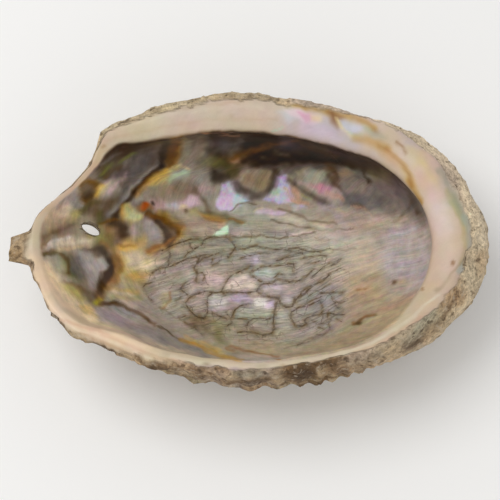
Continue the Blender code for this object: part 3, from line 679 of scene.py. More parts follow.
CRUST = (
    ("pale stone", 6, 0.85, "98,126 130,110 160,100 200,92 240,86 300,90 300,98 240,96 200,100 160,109 "
     "128,119 104,133"),
    ("rose cream", 6, 0.9, "290,90 340,104 380,116 420,134 454,158 480,200 468,210 440,170 400,142 "
     "340,116 290,102"),
    ("pale stone", 5, 0.5, "380,118 410,130 436,150 430,156 404,140 378,126"),
    ("light sand", 6, 1, "456,160 484,200 500,250 494,282 470,282 474,240 466,214"),
    ("clay", 4, 0.5, "476,252 490,250 488,276 476,278"),
    ("dark crumb", 1.5, 0.8, "478,261 2.2,1.8"),
    ("dark crumb", 1.5, 0.7, "474,282 1.6,2.4"),
    ("pale cream", 5, 0.5, "470,196 484,214 490,242 480,246 474,222"),
    ("light sand", 6, 0.8, "448,266 470,262 482,284 466,314 444,312 442,284"),
    ("clay", 4, 0.6, "450,280 462,278 468,296 456,304"),
    ("russet", 4, 0.5, "452,296 460,290 464,302 456,308"),
    ("light crumb", 2, 0.8, 2.5, "462,300 456,312 446,320"),
    ("clay", 12, 0.6, "70,330 130,352 200,374 260,382 330,372 400,346 430,330 436,340 400,362 330,386 "
     "250,392 180,384 110,360 70,344"),
    ("sage", 5, 0.7, "430,300 446,304 440,322 424,336 408,344 412,328"),
    ("stone", 5, 0.7, "400,330 424,330 404,350 380,360 366,364 372,350"),
    ("crumb", 4, 0.6, "426,326 444,318 436,334 420,344"),
    ("crumb", 4, 0.85, "284,368 330,363 330,384 284,386"),
    ("clay", 4, 0.7, "330,362 346,360 348,380 330,382"),
    ("light crumb", 1.4, 0.8, 2, "353,360 348,368 345,376"),
    ("light crumb", 1.4, 0.7, 2, "372,354 366,362 362,370"),
    ("crumb", 4, 0.85, "222,378 270,378 270,392 226,392"),
    ("sage", 4, 0.5, "232,368 262,370 262,378 232,377"),
    ("crumb", 4, 0.6, "130,346 160,356 160,366 132,358"),
    ("pale stone", 4, 0.6, "60,326 90,336 110,346 92,346 64,336"),
    ("light crumb", 5, 0.8, "8,236 27,230 27,248 10,252"),
    ("clay", 5, 0.7, "10,252 27,248 27,264 14,266"),
    ("light sand", 6, 0.7, "370,112 410,124 444,146 466,176 458,178 436,156 404,136 370,122"),
    ("sage", 3, 0.8, 6, "450,258 443,274 433,291 422,306 408,319"),
    ("clay", 5, 0.85, "440,280 452,272 457,290 450,310 438,316"),
    ("crumb", 3, 0.7, 3, "456,282 454,300 444,318"),
    ("crumb", 5, 0.75, "284,357 300,354 330,352 340,358 336,372 310,376 286,374"),
    ("dark crumb", 4, 0.8, "150,362 164,366 176,373 168,378 150,370"),
    ("dark crumb", 4, 0.75, "200,374 216,376 222,384 208,386 196,380"),
    ("dark crumb", 4, 0.75, "244,382 262,380 272,388 256,392 242,389"),
    ("dark crumb", 4, 0.8, "296,372 308,368 314,376 300,384 292,380"),
    ("dark crumb", 4, 0.7, "334,370 348,368 350,378 338,382"),
    ("light crumb", 3, 0.8, "180,370 190,372 196,378 186,380"),
    ("light crumb", 3, 0.8, "224,374 236,375 240,381 228,382"),
    ("light crumb", 3, 0.8, "272,376 284,374 288,382 276,384"),
    ("light crumb", 3, 0.8, "316,368 328,366 330,374 318,378"),
    ("light crumb", 3, 0.8, "384,350 402,342 404,352 388,362"),
    ("light crumb", 3, 0.8, "426,334 444,322 448,330 432,344"),
    ("dark crumb", 4, 0.7, "404,346 420,336 424,344 410,356"),
    ("dark crumb", 3, 0.7, "90,340 104,344 116,352 106,354 92,348"),
    ("light crumb", 3, 0.8, "116,350 130,354 140,362 126,362"),
    ("crumb", 2, 0.8, 3, "26,240 24,250 26,260"),
)


def smooth_step(value):
    value = np.clip(value, 0, 1)
    return value * value * (3 - 2 * value)


def around(stations, degrees, ease):
    """A quantity given at compass stations, as a smooth closed curve read at other directions."""
    whole_turn = np.arange(-180.0, 541.0)
    keys = sorted(stations)
    line = np.interp(whole_turn, keys, [stations[key] for key in keys], period=360)
    reach = np.arange(-4 * ease, 4 * ease + 1)
    bell = np.exp(-0.5 * (reach / ease) ** 2)
    smooth = np.convolve(np.pad(line, 4 * ease, mode="edge"), bell / bell.sum(), "valid")
    return np.interp(np.asarray(degrees) % 360, whole_turn, smooth)


def along_profile(radius, height, shares):
    """A dense profile, one row for each direction, read at the given shares of its length."""
    steps = np.hypot(np.diff(radius), np.diff(height))
    length = np.concatenate([np.zeros((len(steps), 1)), np.cumsum(steps, axis=1)], axis=1)
    read_r = np.empty((len(steps), len(shares)))
    read_z = np.empty_like(read_r)
    for row, along in enumerate(length):
        read_r[row] = np.interp(shares * along[-1], along, radius[row])
        read_z[row] = np.interp(shares * along[-1], along, height[row])
    return read_r, read_z


def cross_sections(degrees):
    """Radius and height of every ring at each direction: floor, shelf, rim, outside, underside."""
    def column(stations, ease=4):
        return around(stations, degrees, ease)[:, None]

    margin_r = column(MARGIN_REACH, 2)
    margin_z = HEIGHT - column(MARGIN_DROP, 3)
    edge_r = margin_r - column(SHELF_WIDTH, 3)
    edge_z = margin_z - column(SHELF_FALL)
    rim_r = margin_r + column(CRUST_WIDTH)
    rim_z = margin_z - CRUST_DROP
    share = np.linspace(0, 1, SAMPLES)[None, :] ** SAMPLE_CROWDING

    turn = np.radians(column(INNER_TURN, 5))
    angle = turn * share
    inner_r = edge_r * (np.sin(angle) / np.sin(turn)) ** column(INNER_POWER, 8)
    inner_z = FLOOR + (edge_z - FLOOR) * (1 - np.cos(angle)) / (1 - np.cos(turn))
    rings = np.arange(INNER_RINGS + 1)
    shares = np.interp(rings, [0, FLOOR_RINGS, INNER_RINGS], [0, FLOOR_SHARE, 1])
    inner_r, inner_z = along_profile(inner_r, inner_z, shares)

    turn = np.radians(column(OUTER_TURN, 5))
    angle = turn * share[:, ::-1]
    outer_r = rim_r * (np.sin(angle) / np.sin(turn)) ** column(OUTER_POWER, 8)
    outer_z = rim_z * (1 - np.cos(angle)) / (1 - np.cos(turn))
    outer_rings = RINGS - MARGIN_RING - RIM_RINGS
    outer_r, outer_z = along_profile(outer_r, outer_z, np.linspace(0, 1, outer_rings + 1))

    across = np.linspace(0, 1, SHELF_RINGS + 1)[None, 1:]
    shelf_r = edge_r + (margin_r - edge_r) * across
    shelf_z = edge_z + (margin_z - edge_z) * np.sin(across * math.pi / 2)
    across = np.linspace(0, 1, RIM_RINGS + 1)[None, 1:-1]
    crest_r = margin_r + (rim_r - margin_r) * np.sin(across * math.pi / 2)
    crest_z = margin_z + (rim_z - margin_z) * (1 - np.cos(across * math.pi / 2))
    table_r = np.hstack([inner_r, shelf_r, crest_r, outer_r])
    table_z = np.hstack([inner_z, shelf_z, crest_z, outer_z])
    return rounded_edges(table_r), rounded_edges(table_z)


def rounded_edges(table):
    """The inner edge of the shelf and the rim, worn round over a few rings."""
    rounded = table.copy()
    for middle, reach in ((INNER_RINGS, 5), (MARGIN_RING + RIM_RINGS, 4)):
        for ring in range(middle - 2 * reach, middle + 2 * reach + 1):
            width = max(0.6, reach * (1 - abs(ring - middle) / (2 * reach + 1)) / 1.6)
            near = np.arange(ring - 2 * reach, ring + 2 * reach + 1)
            bell = np.exp(-0.5 * ((near - ring) / width) ** 2)
            rounded[:, ring] = table[:, near] @ (bell / bell.sum())
    return rounded


def growth_coordinates(x, y):
    """Growth stage of a point (0 at the margin, rising towards the apex) and its spiral angle."""
    degrees = np.arange(0.0, 360.0)
    reach = around(MARGIN_REACH, degrees, 2)
    margin_x = BOWL_CENTRE[0] + reach * np.cos(np.radians(degrees)) - APEX[0]
    margin_y = BOWL_CENTRE[1] + reach * np.sin(np.radians(degrees)) - APEX[1]
    bearing = np.arctan2(margin_y, margin_x) % math.tau
    order = np.argsort(bearing)
    log_margin = np.log(np.hypot(margin_x, margin_y))[order]
    angle = np.arctan2(y - APEX[1], x - APEX[0])
    log_distance = np.log(np.maximum(np.hypot(x - APEX[0], y - APEX[1]), 1.0))

    def within(trial):
        """True where the margin of that stage, shrunk and turned, still lies inside the point."""
        turned = (angle + SPIRAL_TURN * trial) % math.tau
        return log_distance + trial >= np.interp(turned, bearing[order], log_margin, period=math.tau)

    stage = np.full(len(x), 3.0)
    for trial in np.arange(3.0, -0.8, -STAGE_STEP):
        stage = np.where(within(trial), trial, stage)
    low, high = stage - STAGE_STEP, stage
    for halving in range(6):
        middle = (low + high) / 2
        reached = within(middle)
        low, high = np.where(reached, low, middle), np.where(reached, middle, high)
    stage = high
    return stage, angle - SPIRAL_TURN * log_distance


def bump(points, centre, radius):
    """1 at the centre, falling smoothly to 0 over about twice the radius."""
    return np.exp(-((points - np.array(centre)) ** 2).sum(axis=1) / radius ** 2)


def cloud(points, size, seed):
    """Smooth random values from -1 to 1 in space, with lumps of the given size."""
    table = np.random.default_rng(seed).random((32, 32, 32)) * 2 - 1
    place = points / size + 500.0
    cell = np.floor(place).astype(int)
    part = smooth_step(place - cell)
    value = np.zeros(len(points))
    for corner in np.ndindex(2, 2, 2):
        weight = np.prod(np.where(corner, part, 1 - part), axis=1)
        i, j, k = ((cell + corner) % 32).T
        value += weight * table[i, j, k]
    return value


def tubercle_places():
    """Each breathing hole's place on the back: as far out as the wall is thick."""
    places = []
    for x, y, z in CLOSED_HOLES + (OPEN_HOLE,):
        outward = np.array([x - BOWL_CENTRE[0], y - BOWL_CENTRE[1]])
        outward *= TUBERCLE_OUTWARD / np.hypot(*outward)
        places.append((x + outward[0], y + outward[1], z - TUBERCLE_BELOW))
    return places


def outside_relief(points, stage, spiral):
    """How far the crust stands out: growth ledges, ribs, hole tubercles, spire and lumps."""
    reach = np.hypot(points[:, 0] - APEX[0], points[:, 1] - APEX[1])
    coarse = np.clip((reach - YOUNG_CREST_FROM) / YOUNG_CREST_OVER, 0, 1)
    wobble = np.array([noise.noise(Vector(point) / WOBBLE_SIZE) for point in points])
    lump = np.array([noise.noise(Vector(point) / LUMP_SIZE + Vector(LUMP_OFFSET)) for point in points])
    ledge = ((stage + LEDGE_WANDER * wobble) / LEDGE_STEP) % 1.0
    lip_side = np.clip((LEDGE_SIDE_END - points[:, 1]) / LEDGE_SIDE_FADE, 0, 1)
    relief = LEDGE_RISE * coarse * lip_side * (1 - ledge) ** LEDGE_SHARPNESS
    relief += RIB_RISE * coarse * np.cos(RIB_COUNT * spiral + RIB_WANDER * wobble)
    relief += LUMP_RISE * lump
    places = tubercle_places()
    for rise, place in zip(np.linspace(OLDEST_TUBERCLE, YOUNGEST_TUBERCLE, len(places)), places):
        relief += rise * bump(points, place, TUBERCLE_RADIUS)
    low = np.clip((SPIRE_TOP - points[:, 2]) / SPIRE_FADE, 0, 1)
    relief += low * SPIRE_RISE * np.exp(-(reach / SPIRE_RADIUS) ** 2)
    relief -= low * SUTURE_DEPTH * np.exp(-((reach - SUTURE_RADIUS) / SUTURE_WIDTH) ** 2)
    return relief


def crust_crumbs(points):
    """Crumbs, pits and worm tracks of the crust, finer than the ledges."""
    crumbs = 0.34 * cloud(points, 2.4, 11) + 0.22 * cloud(points, 1.3, 12)
    pits = np.clip(cloud(points, 1.9, 13) - 0.45, 0, 1)
    tracks = np.clip(0.12 - np.abs(cloud(points, 4.5, 14)), 0, 1)
    return crumbs - 1.3 * pits + 2.2 * tracks


def inside_relief(points):
    """Nacre swellings under the closed holes and the shallow waves near the siphon end."""
    relief = np.zeros(len(points))
    for hole in CLOSED_HOLES:
        relief += DOME_RISE * bump(points, hole, DOME_RADIUS)
    siphon_end = np.clip((WAVE_START - points[:, 0]) / WAVE_FADE, 0, 1)
    relief += WAVE_RISE * siphon_end * np.sin(points[:, :2] @ np.array(WAVE_TURN))
    relief += 0.16 * cloud(points, 7.0, 21) + 0.05 * cloud(points, 3.0, 22)
    return relief


def shell_shape():
    """The cube's mesh with each vertex on the shell, and their places, rings, headings and stages."""
    body = bmesh.new()
    bmesh.ops.create_cube(body, size=2.0)
    bmesh.ops.subdivide_edges(body, edges=body.edges[:], cuts=CELLS - 1, use_grid_fill=True)
    cube = np.array([vertex.co for vertex in body.verts])
    plan_x = cube[:, 0] * np.sqrt(1 - cube[:, 1] ** 2 / 2)
    plan_y = cube[:, 1] * np.sqrt(1 - cube[:, 0] ** 2 / 2)
    ring = RINGS * (0.5 - 0.25 * cube[:, 2] * (2 - np.hypot(plan_x, plan_y)))
    heading = np.degrees(np.arctan2(plan_y, plan_x)) % 360

    table_r, table_z = cross_sections(np.arange(0.0, 361.0))
    low_ring = np.clip(np.floor(ring + 1e-6), 0, RINGS - 1).astype(int)
    ring_part = ring - low_ring
    low_heading = np.floor(heading).astype(int)
    heading_part = heading - low_heading

    def read(table):
        before = table[low_heading, low_ring] * (1 - ring_part)
        before += table[low_heading, low_ring + 1] * ring_part
        after = table[low_heading + 1, low_ring] * (1 - ring_part)
        after += table[low_heading + 1, low_ring + 1] * ring_part
        return before * (1 - heading_part) + after * heading_part

    radius = read(table_r)
    points = np.stack([BOWL_CENTRE[0] + radius * np.cos(np.radians(heading)),
                       BOWL_CENTRE[1] + radius * np.sin(np.radians(heading)),
                       read(table_z)], axis=1)
    place_vertices(body, points)
    normals = vertex_normals(body)
    stage, spiral = growth_coordinates(points[:, 0], points[:, 1])

    outside = np.clip((ring - MARGIN_RING) / RIM_RINGS, 0, 1)
    inside = np.clip((INNER_RINGS - ring) / 20.0, 0, 1)
    relief = outside * (outside_relief(points, stage, spiral) + crust_crumbs(points))
    relief += inside * inside_relief(points)
    points += normals * relief[:, None]
    knob = np.minimum(1, KNOB_FLATNESS * bump(points, KNOB_ROOT, KNOB_RADIUS))
    points[:, 0] -= KNOB_REACH * outside * knob
    crust = ring > MARGIN_RING
    points[crust, 2] = np.maximum(points[crust, 2] - WORN_DEPTH * (1 - points[crust, 2] / HEIGHT), 0)
    place_vertices(body, points)
    return body, points, ring, heading, stage


def place_vertices(body, points):
    for vertex, point in zip(body.verts, points):
        vertex.co = point


def vertex_normals(body):
    body.normal_update()
    return np.array([vertex.normal for vertex in body.verts])


def photo_place(points):
    """Where each point of the shell falls in the photograph's frame, in its pixels."""
    across = points[:, 0]
    toward = points[:, 1] + CAMERA_DISTANCE * math.cos(CAMERA_PITCH)
    above = points[:, 2] - HEIGHT - CAMERA_DISTANCE * math.sin(CAMERA_PITCH)
    depth = toward * math.cos(CAMERA_PITCH) - above * math.sin(CAMERA_PITCH)
    rise = toward * math.sin(CAMERA_PITCH) + above * math.cos(CAMERA_PITCH)
    scale = FRAME_PIXELS * LENS / SENSOR / depth
    return FRAME_PIXELS / 2 + across * scale, FRAME_PIXELS / 2 - rise * scale


def outline_points(text):
    return [tuple(float(number) for number in pair.split(",")) for pair in text.split()]


def distance_to_line(u, v, line):
    nearest = np.full(u.shape, 1e9)
    for (x0, y0), (x1, y1) in zip(line[:-1], line[1:]):
        run, fall = x1 - x0, y1 - y0
        along = np.clip(((u - x0) * run + (v - y0) * fall) / (run * run + fall * fall + 1e-9), 0, 1)
        nearest = np.minimum(nearest, np.hypot(u - x0 - along * run, v - y0 - along * fall))
    return nearest


def inside_outline(u, v, line):
    inside = np.zeros(u.shape, bool)
    for (x0, y0), (x1, y1) in zip(line, line[1:] + line[:1]):
        crosses = (y0 > v) != (y1 > v)
        inside ^= crosses & (u < (x1 - x0) * (v - y0) / (y1 - y0 + 1e-12) + x0)
    return inside


def distance_past(u, v, points, width=0):
    """How far each place lies outside a stroke, a dab or a patch, negative inside it."""
    if width:
        return distance_to_line(u, v, points) - width / 2
    if len(points) == 2:
        (x, y), (half_width, half_height) = points
        return (np.hypot((u - x) / half_width, (v - y) / half_height) - 1) * min(half_width, half_height)
    past = distance_to_line(u, v, points + points[:1])
    return np.where(inside_outline(u, v, points), -past, past)


def paint(colour, marks, u, v, where, ragged):
    """Lays soft patches, strokes and dabs on the colour, only where the mask lets them.

    The paint is thinner where the ragged share is high."""
    for mark in marks:
        tint, soft, strength = mark[:3]
        points = outline_points(mark[-1])
        width = mark[3] if len(mark) == 5 else 0
        dab = not width and len(points) == 2
        spread = max(points[1]) if dab else width
        across, down = zip(*(points[:1] if dab else points))
        margin = spread + 2 * soft + 1
        near = np.nonzero((where > 0) & (u > min(across) - margin) & (u < max(across) + margin)
                          & (v > min(down) - margin) & (v < max(down) + margin))[0]
        past = distance_past(u[near], v[near], points, width)
        soften = soft if width else 2 * soft
        cover = smooth_step(0.5 - past / soften) * strength * where[near] * (1 - ragged[near])
        colour[near] += (np.array(TINTS[tint], float) - colour[near]) * cover[:, None]


def wandered(points, u, v, amount, seed):
    """The photograph places moved a little at random, so that painted edges look grown."""
    shift_u = cloud(points, 4.5, seed) + 0.7 * cloud(points, 1.9, seed + 1)
    shift_v = cloud(points, 4.5, seed + 2) + 0.7 * cloud(points, 1.9, seed + 3)
    return u + amount * shift_u, v + amount * shift_v


def crust_colour(points, stage):
    """Weathered crust: sandy grey in growth bands, with olive, rosy and dark crumbs."""
    def tint(name):
        return np.array(TINTS[name], float)

    colour = np.tile(tint("sandstone"), (len(points), 1))

    def lay(name, amount):
        colour[:] += (tint(name) - colour) * np.clip(amount, 0, 1)[:, None]

    band = ((stage + 0.012 * cloud(points, 9.0, 31)) / LEDGE_STEP) % 1.0
    lay("pale stone", 0.85 * smooth_step(1 - 2.5 * band))
    lay("crumb", 0.85 * smooth_step(3 * band - 2))
    lay("rose crust", 0.6 * smooth_step(0.3 + 1.1 * cloud(points, 16.0, 32)))
    lay("pale olive", 0.35 * smooth_step(1.4 * cloud(points, 9.0, 33)))
    lay("clay", 0.6 * smooth_step(1.6 * cloud(points, 6.0, 34)))
    lay("light crumb", 0.55 * smooth_step(2.5 * cloud(points, 1.7, 35)))
    lay("crumb", 0.45 * smooth_step(2.2 * cloud(points, 2.0, 36) - 0.2))
    lay("dark crumb", 0.5 * smooth_step(3.0 * (cloud(points, 1.5, 37) - 0.35)))
    worn = smooth_step((points[:, 2] - 18) / 14) * np.maximum(
        0.6 * smooth_step((points[:, 0] - 25) / 30), 0.4 * smooth_step((points[:, 1] - 15) / 20))
    lay("light sand", worn)
    return colour


def linear(colour):
    """Screen colours from 0 to 255 as the linear values that shaders use."""
    share = np.clip(colour / 255.0, 0, 1)
    return np.where(share <= 0.04045, share / 12.92, ((share + 0.055) / 1.055) ** 2.4)


def crack_distance(u, v, where):
    """Distance to the nearest crack of the scar, in pixels of the photograph."""
    nearest = np.full(u.shape, 9.0)
    for text, fading in [(line, fading) for lines, fading in CRACK_FADING for line in lines]:
        line = outline_points(text)
        across, down = zip(*line)
        near = np.nonzero(where & (u > min(across) - 9) & (u < max(across) + 9)
                          & (v > min(down) - 9) & (v < max(down) + 9))[0]
        nearest[near] = np.minimum(nearest[near], fading * distance_to_line(u[near], v[near], line))
    return nearest


def shell_colours(points, ring, heading, stage):
    """Colour, finish and crack lines of every vertex: nacre, porcelain shelf and crust."""
    u, v = photo_place(points)
    wander = cloud(points, 3.0, 41) + 0.6 * cloud(points, 1.4, 42)
    past_margin = ring - MARGIN_RING - around(PORCELAIN_OVER, heading, 8)
    crust = smooth_step((past_margin + 1.8 * wander + 0.8) / 1.6)
    nacre_edge = INNER_RINGS + around(NACRE_OVER, heading, 4) + wander
    bowl = smooth_step((nacre_edge - ring + 1) / 4.0) * (1 - crust)
    shelf = (1 - bowl) * (1 - crust)

    nacre = np.tile(np.array(TINTS["nacre"], float), (len(points), 1))
    # Painted shade: the nacre is darkened to umber high on the far wall, where it lies under the overhanging
    # shelf
    under = smooth_step((ring - 0.72 * INNER_RINGS) / 12.0) * smooth_step((points[:, 1] - 22) / 8.0)
    nacre += (np.array(TINTS["umber"], float) - nacre) * under[:, None]
    warped_u, warped_v = wandered(points, u, v, NACRE_WANDER, 51)
    ragged = np.clip(0.16 + 0.3 * cloud(points, 2.0, 45) + 0.22 * cloud(points, 5.0, 46), 0, 0.6)
    bowl_side = (ring < nacre_edge + 4).astype(float)
    for marks in (BOWL, UNDER_SHELF_DARK_AND_SHADE, SMOKY_END, NOTCH, LOWER_LEFT, FLOW, DOMES, RIGHT_BOWL, SCAR):
        paint(nacre, marks, warped_u, warped_v, bowl_side, ragged)
    warmth = nacre[:, 2] - nacre[:, 0]
    # Bright bluish paint, including the painted highlights on the domes, marks where the nacre's flecks show
    # strongest
    opal_and_glint = smooth_step((nacre[:, 2] - 150) / 50) * smooth_step((warmth + 18) / 30)

    porcelain = np.tile(np.array(TINTS["cream"], float), (len(points), 1))
    shelf_u, shelf_v = wandered(points, u, v, SHELF_WANDER, 71)
    paint(porcelain, SHELF + LIP, shelf_u, shelf_v, (ring > INNER_RINGS - 26).astype(float), ragged)

    outer = crust_colour(points, stage)
    facing = (ring > MARGIN_RING - 6) * smooth_step((points[:, 2] - 25) / 11.0)
    paint(outer, CRUST, shelf_u, shelf_v, facing, ragged)

    near_u, near_v = wandered(points, u, v, CRACK_WANDER, 61)
    cracks = crack_distance(near_u, near_v, bowl_side > 0)
    scar = distance_past(warped_u, warped_v, outline_points(SCAR_OUTLINE))
    scar = smooth_step(0.5 - scar / 20) * bowl_side
    colour = nacre * bowl[:, None] + porcelain * shelf[:, None] + outer * crust[:, None]
    screen = linear(colour) * (1 + (BOWL_LIFT - 1) * bowl[:, None]) - GLOSS_VEIL * bowl[:, None]
    screen = np.maximum(screen, 0.002)
    woven = distance_past(warped_u, warped_v, outline_points(FIBRE_OUTLINE))
    woven = smooth_step(0.5 - woven / 30)
    return screen, np.stack([bowl, shelf, woven], axis=1), np.stack([cracks, scar, opal_and_glint * bowl], axis=1)


def flow_places(points, stage):
    """Place across the growth lines and across the fibres of the scar, in millimetres."""
    x, y = points[:, 0] - SCAR_CENTRE[0], points[:, 1] - SCAR_CENTRE[1]
    across_growth = -GROWTH_SPREAD * stage + 1.0 * cloud(points, 8.0, 83)
    run = np.arange(-80.0, 81.0)
    rise = np.cumsum(np.interp(run, sorted(FIBRE_SLOPE), [FIBRE_SLOPE[key] for key in sorted(FIBRE_SLOPE)]))
    lower = 1 - 0.6 * smooth_step((y - 4) / 16)
    across_fibres = y - lower * np.interp(x, run, rise - rise[80]) + 0.9 * cloud(points, 9.0, 84)
    across_fibres += 0.35 * cloud(points, 3.5, 85)
    return np.stack([across_growth, across_fibres, np.zeros(len(x))], axis=1)




class Signal:
    """A socket of a material's nodes, so that shader maths reads as plain arithmetic."""

    def __init__(self, finish, socket):
        self.finish = finish
        self.socket = socket

    def math(self, operation, first, second):
        return self.finish.node("ShaderNodeMath", {"operation": operation}, {0: first, 1: second})

    def __add__(self, other):
        return self.math("ADD", self, other)

    def __radd__(self, other):
        return self.math("ADD", other, self)

    def __sub__(self, other):
        return self.math("SUBTRACT", self, other)

    def __rsub__(self, other):
        return self.math("SUBTRACT", other, self)

    def __mul__(self, other):
        return self.math("MULTIPLY", self, other)

    def __rmul__(self, other):
        return self.math("MULTIPLY", other, self)


class Finish:
    """A material and the one method that adds nodes to it."""

    def __init__(self, name):
        self.material = bpy.data.materials.new(name)
        self.material.use_nodes = True
        self.tree = self.material.node_tree
        self.shader = self.tree.nodes["Principled BSDF"]

    def node(self, kind, settings, values, output=0):
        made = self.tree.nodes.new(kind)
        for name, value in settings.items():
            setattr(made, name, value)
        for key, value in values.items():
            self.set(made.inputs[key], value)
        return Signal(self, made.outputs[output])

    def set(self, socket, value):
        if isinstance(value, Signal):
            self.tree.links.new(value.socket, socket)
        else:
            socket.default_value = value

    def attribute(self, name, output):
        return self.node("ShaderNodeAttribute", {"attribute_name": name}, {}, output)

    def parts(self, vector):
        axes = self.node("ShaderNodeSeparateXYZ", {}, {0: vector})
        return [Signal(self, axes.socket.node.outputs[axis]) for axis in range(3)]

    def stretched(self, vector, scale):
        return self.node("ShaderNodeVectorMath", {"operation": "MULTIPLY"}, {0: vector, 1: scale})

    def cloudy(self, vector, scale, detail=2.0, output=0):
        values = {"Vector": vector, "Scale": scale, "Detail": detail, "Roughness": 0.55}
        return self.node("ShaderNodeTexNoise", {}, values, output)

    def between(self, value, low, high):
        values = {"Value": value, "From Min": low, "From Max": high}
        return self.node("ShaderNodeMapRange", {"clamp": True}, values)

    def blend(self, mode, amount, first, second):
        settings = {"data_type": "RGBA", "blend_type": mode, "clamp_result": True}
        return self.node("ShaderNodeMix", settings, {0: amount, 6: first, 7: second}, 2)


def shell_finish():
    """Mother-of-pearl, porcelain shelf and crust in one material, told apart by the finish mask."""
    finish = Finish("abalone_shell")
    colour = finish.attribute("paint", 0)
    pearl, porcelain, woven = finish.parts(finish.attribute("finish", 1))
    crust = 1.0 - pearl - porcelain
    crack_distance, scar, opal_and_glint = finish.parts(finish.attribute("lines", 1))
    across_growth, across_fibres = finish.parts(finish.attribute("flow", 1))[:2]
    place = finish.node("ShaderNodeTexCoord", {}, {}, 3)

    def grown(across, per_millimetre, detail, output=0):
        """Noise drawn out along the growth lines or the fibres."""
        along_metres = finish.stretched(place, (STREAK_SHORTNESS * per_millimetre,) * 3)
        right, back = finish.parts(along_metres)[:2]
        vector = finish.node("ShaderNodeCombineXYZ", {}, {0: across * per_millimetre, 1: right, 2: back})
        return finish.cloudy(vector, 1.0, detail, output)

    along = woven * pearl
    streaks = grown(across_growth, 0.7, 5.0) * (1.0 - along) + grown(across_fibres, 0.62, 5.0) * along
    fibres = grown(across_growth, 2.0, 3.0) * (1.0 - along) + grown(across_fibres, 1.9, 3.0) * along
    mottle = finish.cloudy(place, MOTTLE_SCALE, 5.0)
    tones = finish.blend("MIX", along, grown(across_growth, 0.36, 4.0, 1), grown(across_fibres, 0.42, 4.0, 1))
    flecks = finish.cloudy(place, FLECK_SCALE, 2.0, 1)
    pastel = finish.cloudy(place, PASTEL_SCALE, 3.0, 1)
    grain = finish.cloudy(place, GRAIN_SCALE, 5.0)
    crumbs = finish.cloudy(place, CRUMB_SCALE, 4.0)
    speck = finish.cloudy(place, SPECK_SCALE, 3.0)

    plates = scar * (finish.between(crack_distance, 0.8, 6.5) - 0.6)
    weave = (streaks - 0.5) * 0.9 + (fibres - 0.5) * (0.5 + scar * 1.1)
    weave = weave + (mottle - 0.5) * 0.75 + (speck - 0.5) * 0.3
    # This mask also carries the painted highlights, which get more flecks of colour and fewer streaks
    weave = weave * (1.0 - opal_and_glint * 0.7)
    light = 1.0 + pearl * (weave + plates * 0.36)
    light = light + porcelain * ((streaks - 0.5) * 0.16 + (mottle - 0.5) * 0.16 + (speck - 0.5) * 0.12)
    light = light + crust * ((streaks - 0.5) * 1.3 + (grain - 0.5) * 1.7 + (speck - 0.5) * 0.9)
    grey = finish.node("ShaderNodeCombineXYZ", {}, {0: light, 1: light, 2: light})
    colour = finish.blend("MULTIPLY", 1.0, colour, grey)
    colour = finish.blend("OVERLAY", pearl * 0.24, colour, tones)
    colour = finish.blend("OVERLAY", porcelain * 0.16, colour, pastel)
    colour = finish.blend("OVERLAY", pearl * 0.14 + opal_and_glint * 0.7, colour, flecks)
    # Dark brown in the hollows of the crumb relief, partly painted shade, and cream on its tops, a painted
    # highlight
    pits = 1.0 - finish.between(crumbs, 0.33, 0.43)
    crumb_highlights = finish.between(crumbs, 0.57, 0.68)
    colour = finish.blend("MIX", crust * pits * 0.7, colour, PIT_BROWN_AND_SHADE)
    colour = finish.blend("MIX", crust * crumb_highlights * 0.6, colour, CRUMB_HIGHLIGHT)

    drift = (grain - 0.5) * 1.6 + (mottle - 0.5) * 3.0
    main_cracks = 1.0 - finish.between(crack_distance + drift, 0.2, 1.2)
    halo = 1.0 - finish.between(crack_distance + drift, 0.6, 3.6)
    warped = finish.node("ShaderNodeVectorMath", {"operation": "ADD"}, {
        0: finish.stretched(place, (300.0, 340.0, 200.0)),
        1: finish.stretched(finish.cloudy(place, 260.0, 3.0, 1), (0.9, 0.9, 0.9))})
    to_edge = {"feature": "DISTANCE_TO_EDGE"}
    cells = finish.node("ShaderNodeTexVoronoi", to_edge, {"Vector": warped, "Scale": 1.0})
    fine_cracks = (1.0 - finish.between(cells, 0.01, 0.06)) * scar * finish.between(mottle, 0.46, 0.62)
    colour = finish.blend("MIX", halo * scar * finish.between(crumbs, 0.4, 0.6) * 0.65, colour, CRACK_HALO)
    colour = finish.blend("MIX", main_cracks * finish.between(mottle, 0.34, 0.54) * 0.95, colour, CRACK_BROWN)
    colour = finish.blend("MIX", fine_cracks * 0.5, colour, CRACK_OLIVE)
    finish.set(finish.shader.inputs["Base Color"], colour)

    roughness = pearl * 0.3 + porcelain * 0.4 + crust * 0.9
    finish.set(finish.shader.inputs["Roughness"], roughness)
    finish.set(finish.shader.inputs["Coat Weight"], pearl * 0.2 + porcelain * 0.1)
    finish.shader.inputs["Coat Roughness"].default_value = 0.15
    finish.shader.inputs["Specular IOR Level"].default_value = 0.35

    height = pearl * streaks * 0.12 + porcelain * streaks * 0.03
    height = height + crust * (grain * 0.7 + crumbs * 2.4 + speck * 0.35)
    height = height - main_cracks * 0.2 - fine_cracks * 0.12
    values = {"Strength": 1.0, "Distance": RELIEF_DEPTH, "Height": height}
    finish.set(finish.shader.inputs["Normal"], finish.node("ShaderNodeBump", {}, values))
    return finish.material


def hole_pin():
    """Slanted oval pin that opens the last breathing hole."""
    pin = bmesh.new()
    bmesh.ops.create_cone(pin, cap_ends=True, segments=48, radius1=0.5, radius2=0.5, depth=HOLE_PIN * MM)
    for vertex in pin.verts:
        vertex.co.x *= HOLE_LENGTH * MM
        vertex.co.y *= HOLE_WIDTH * MM
    mesh = bpy.data.meshes.new("hole_pin")
    pin.to_mesh(mesh)
    pin.free()
    cutter = bpy.data.objects.new("hole_pin", mesh)
    axis = Vector(HOLE_AXIS).normalized()
    side = axis.cross(Vector(HOLE_LONG_WAY)).normalized()
    cutter.matrix_world = Matrix((side.cross(axis), side, axis)).transposed().to_4x4()
    cutter.location = (Vector(OPEN_HOLE) + Vector((*SHELL_SHIFT, 0))) * MM
    bpy.context.scene.collection.objects.link(cutter)
    return cutter


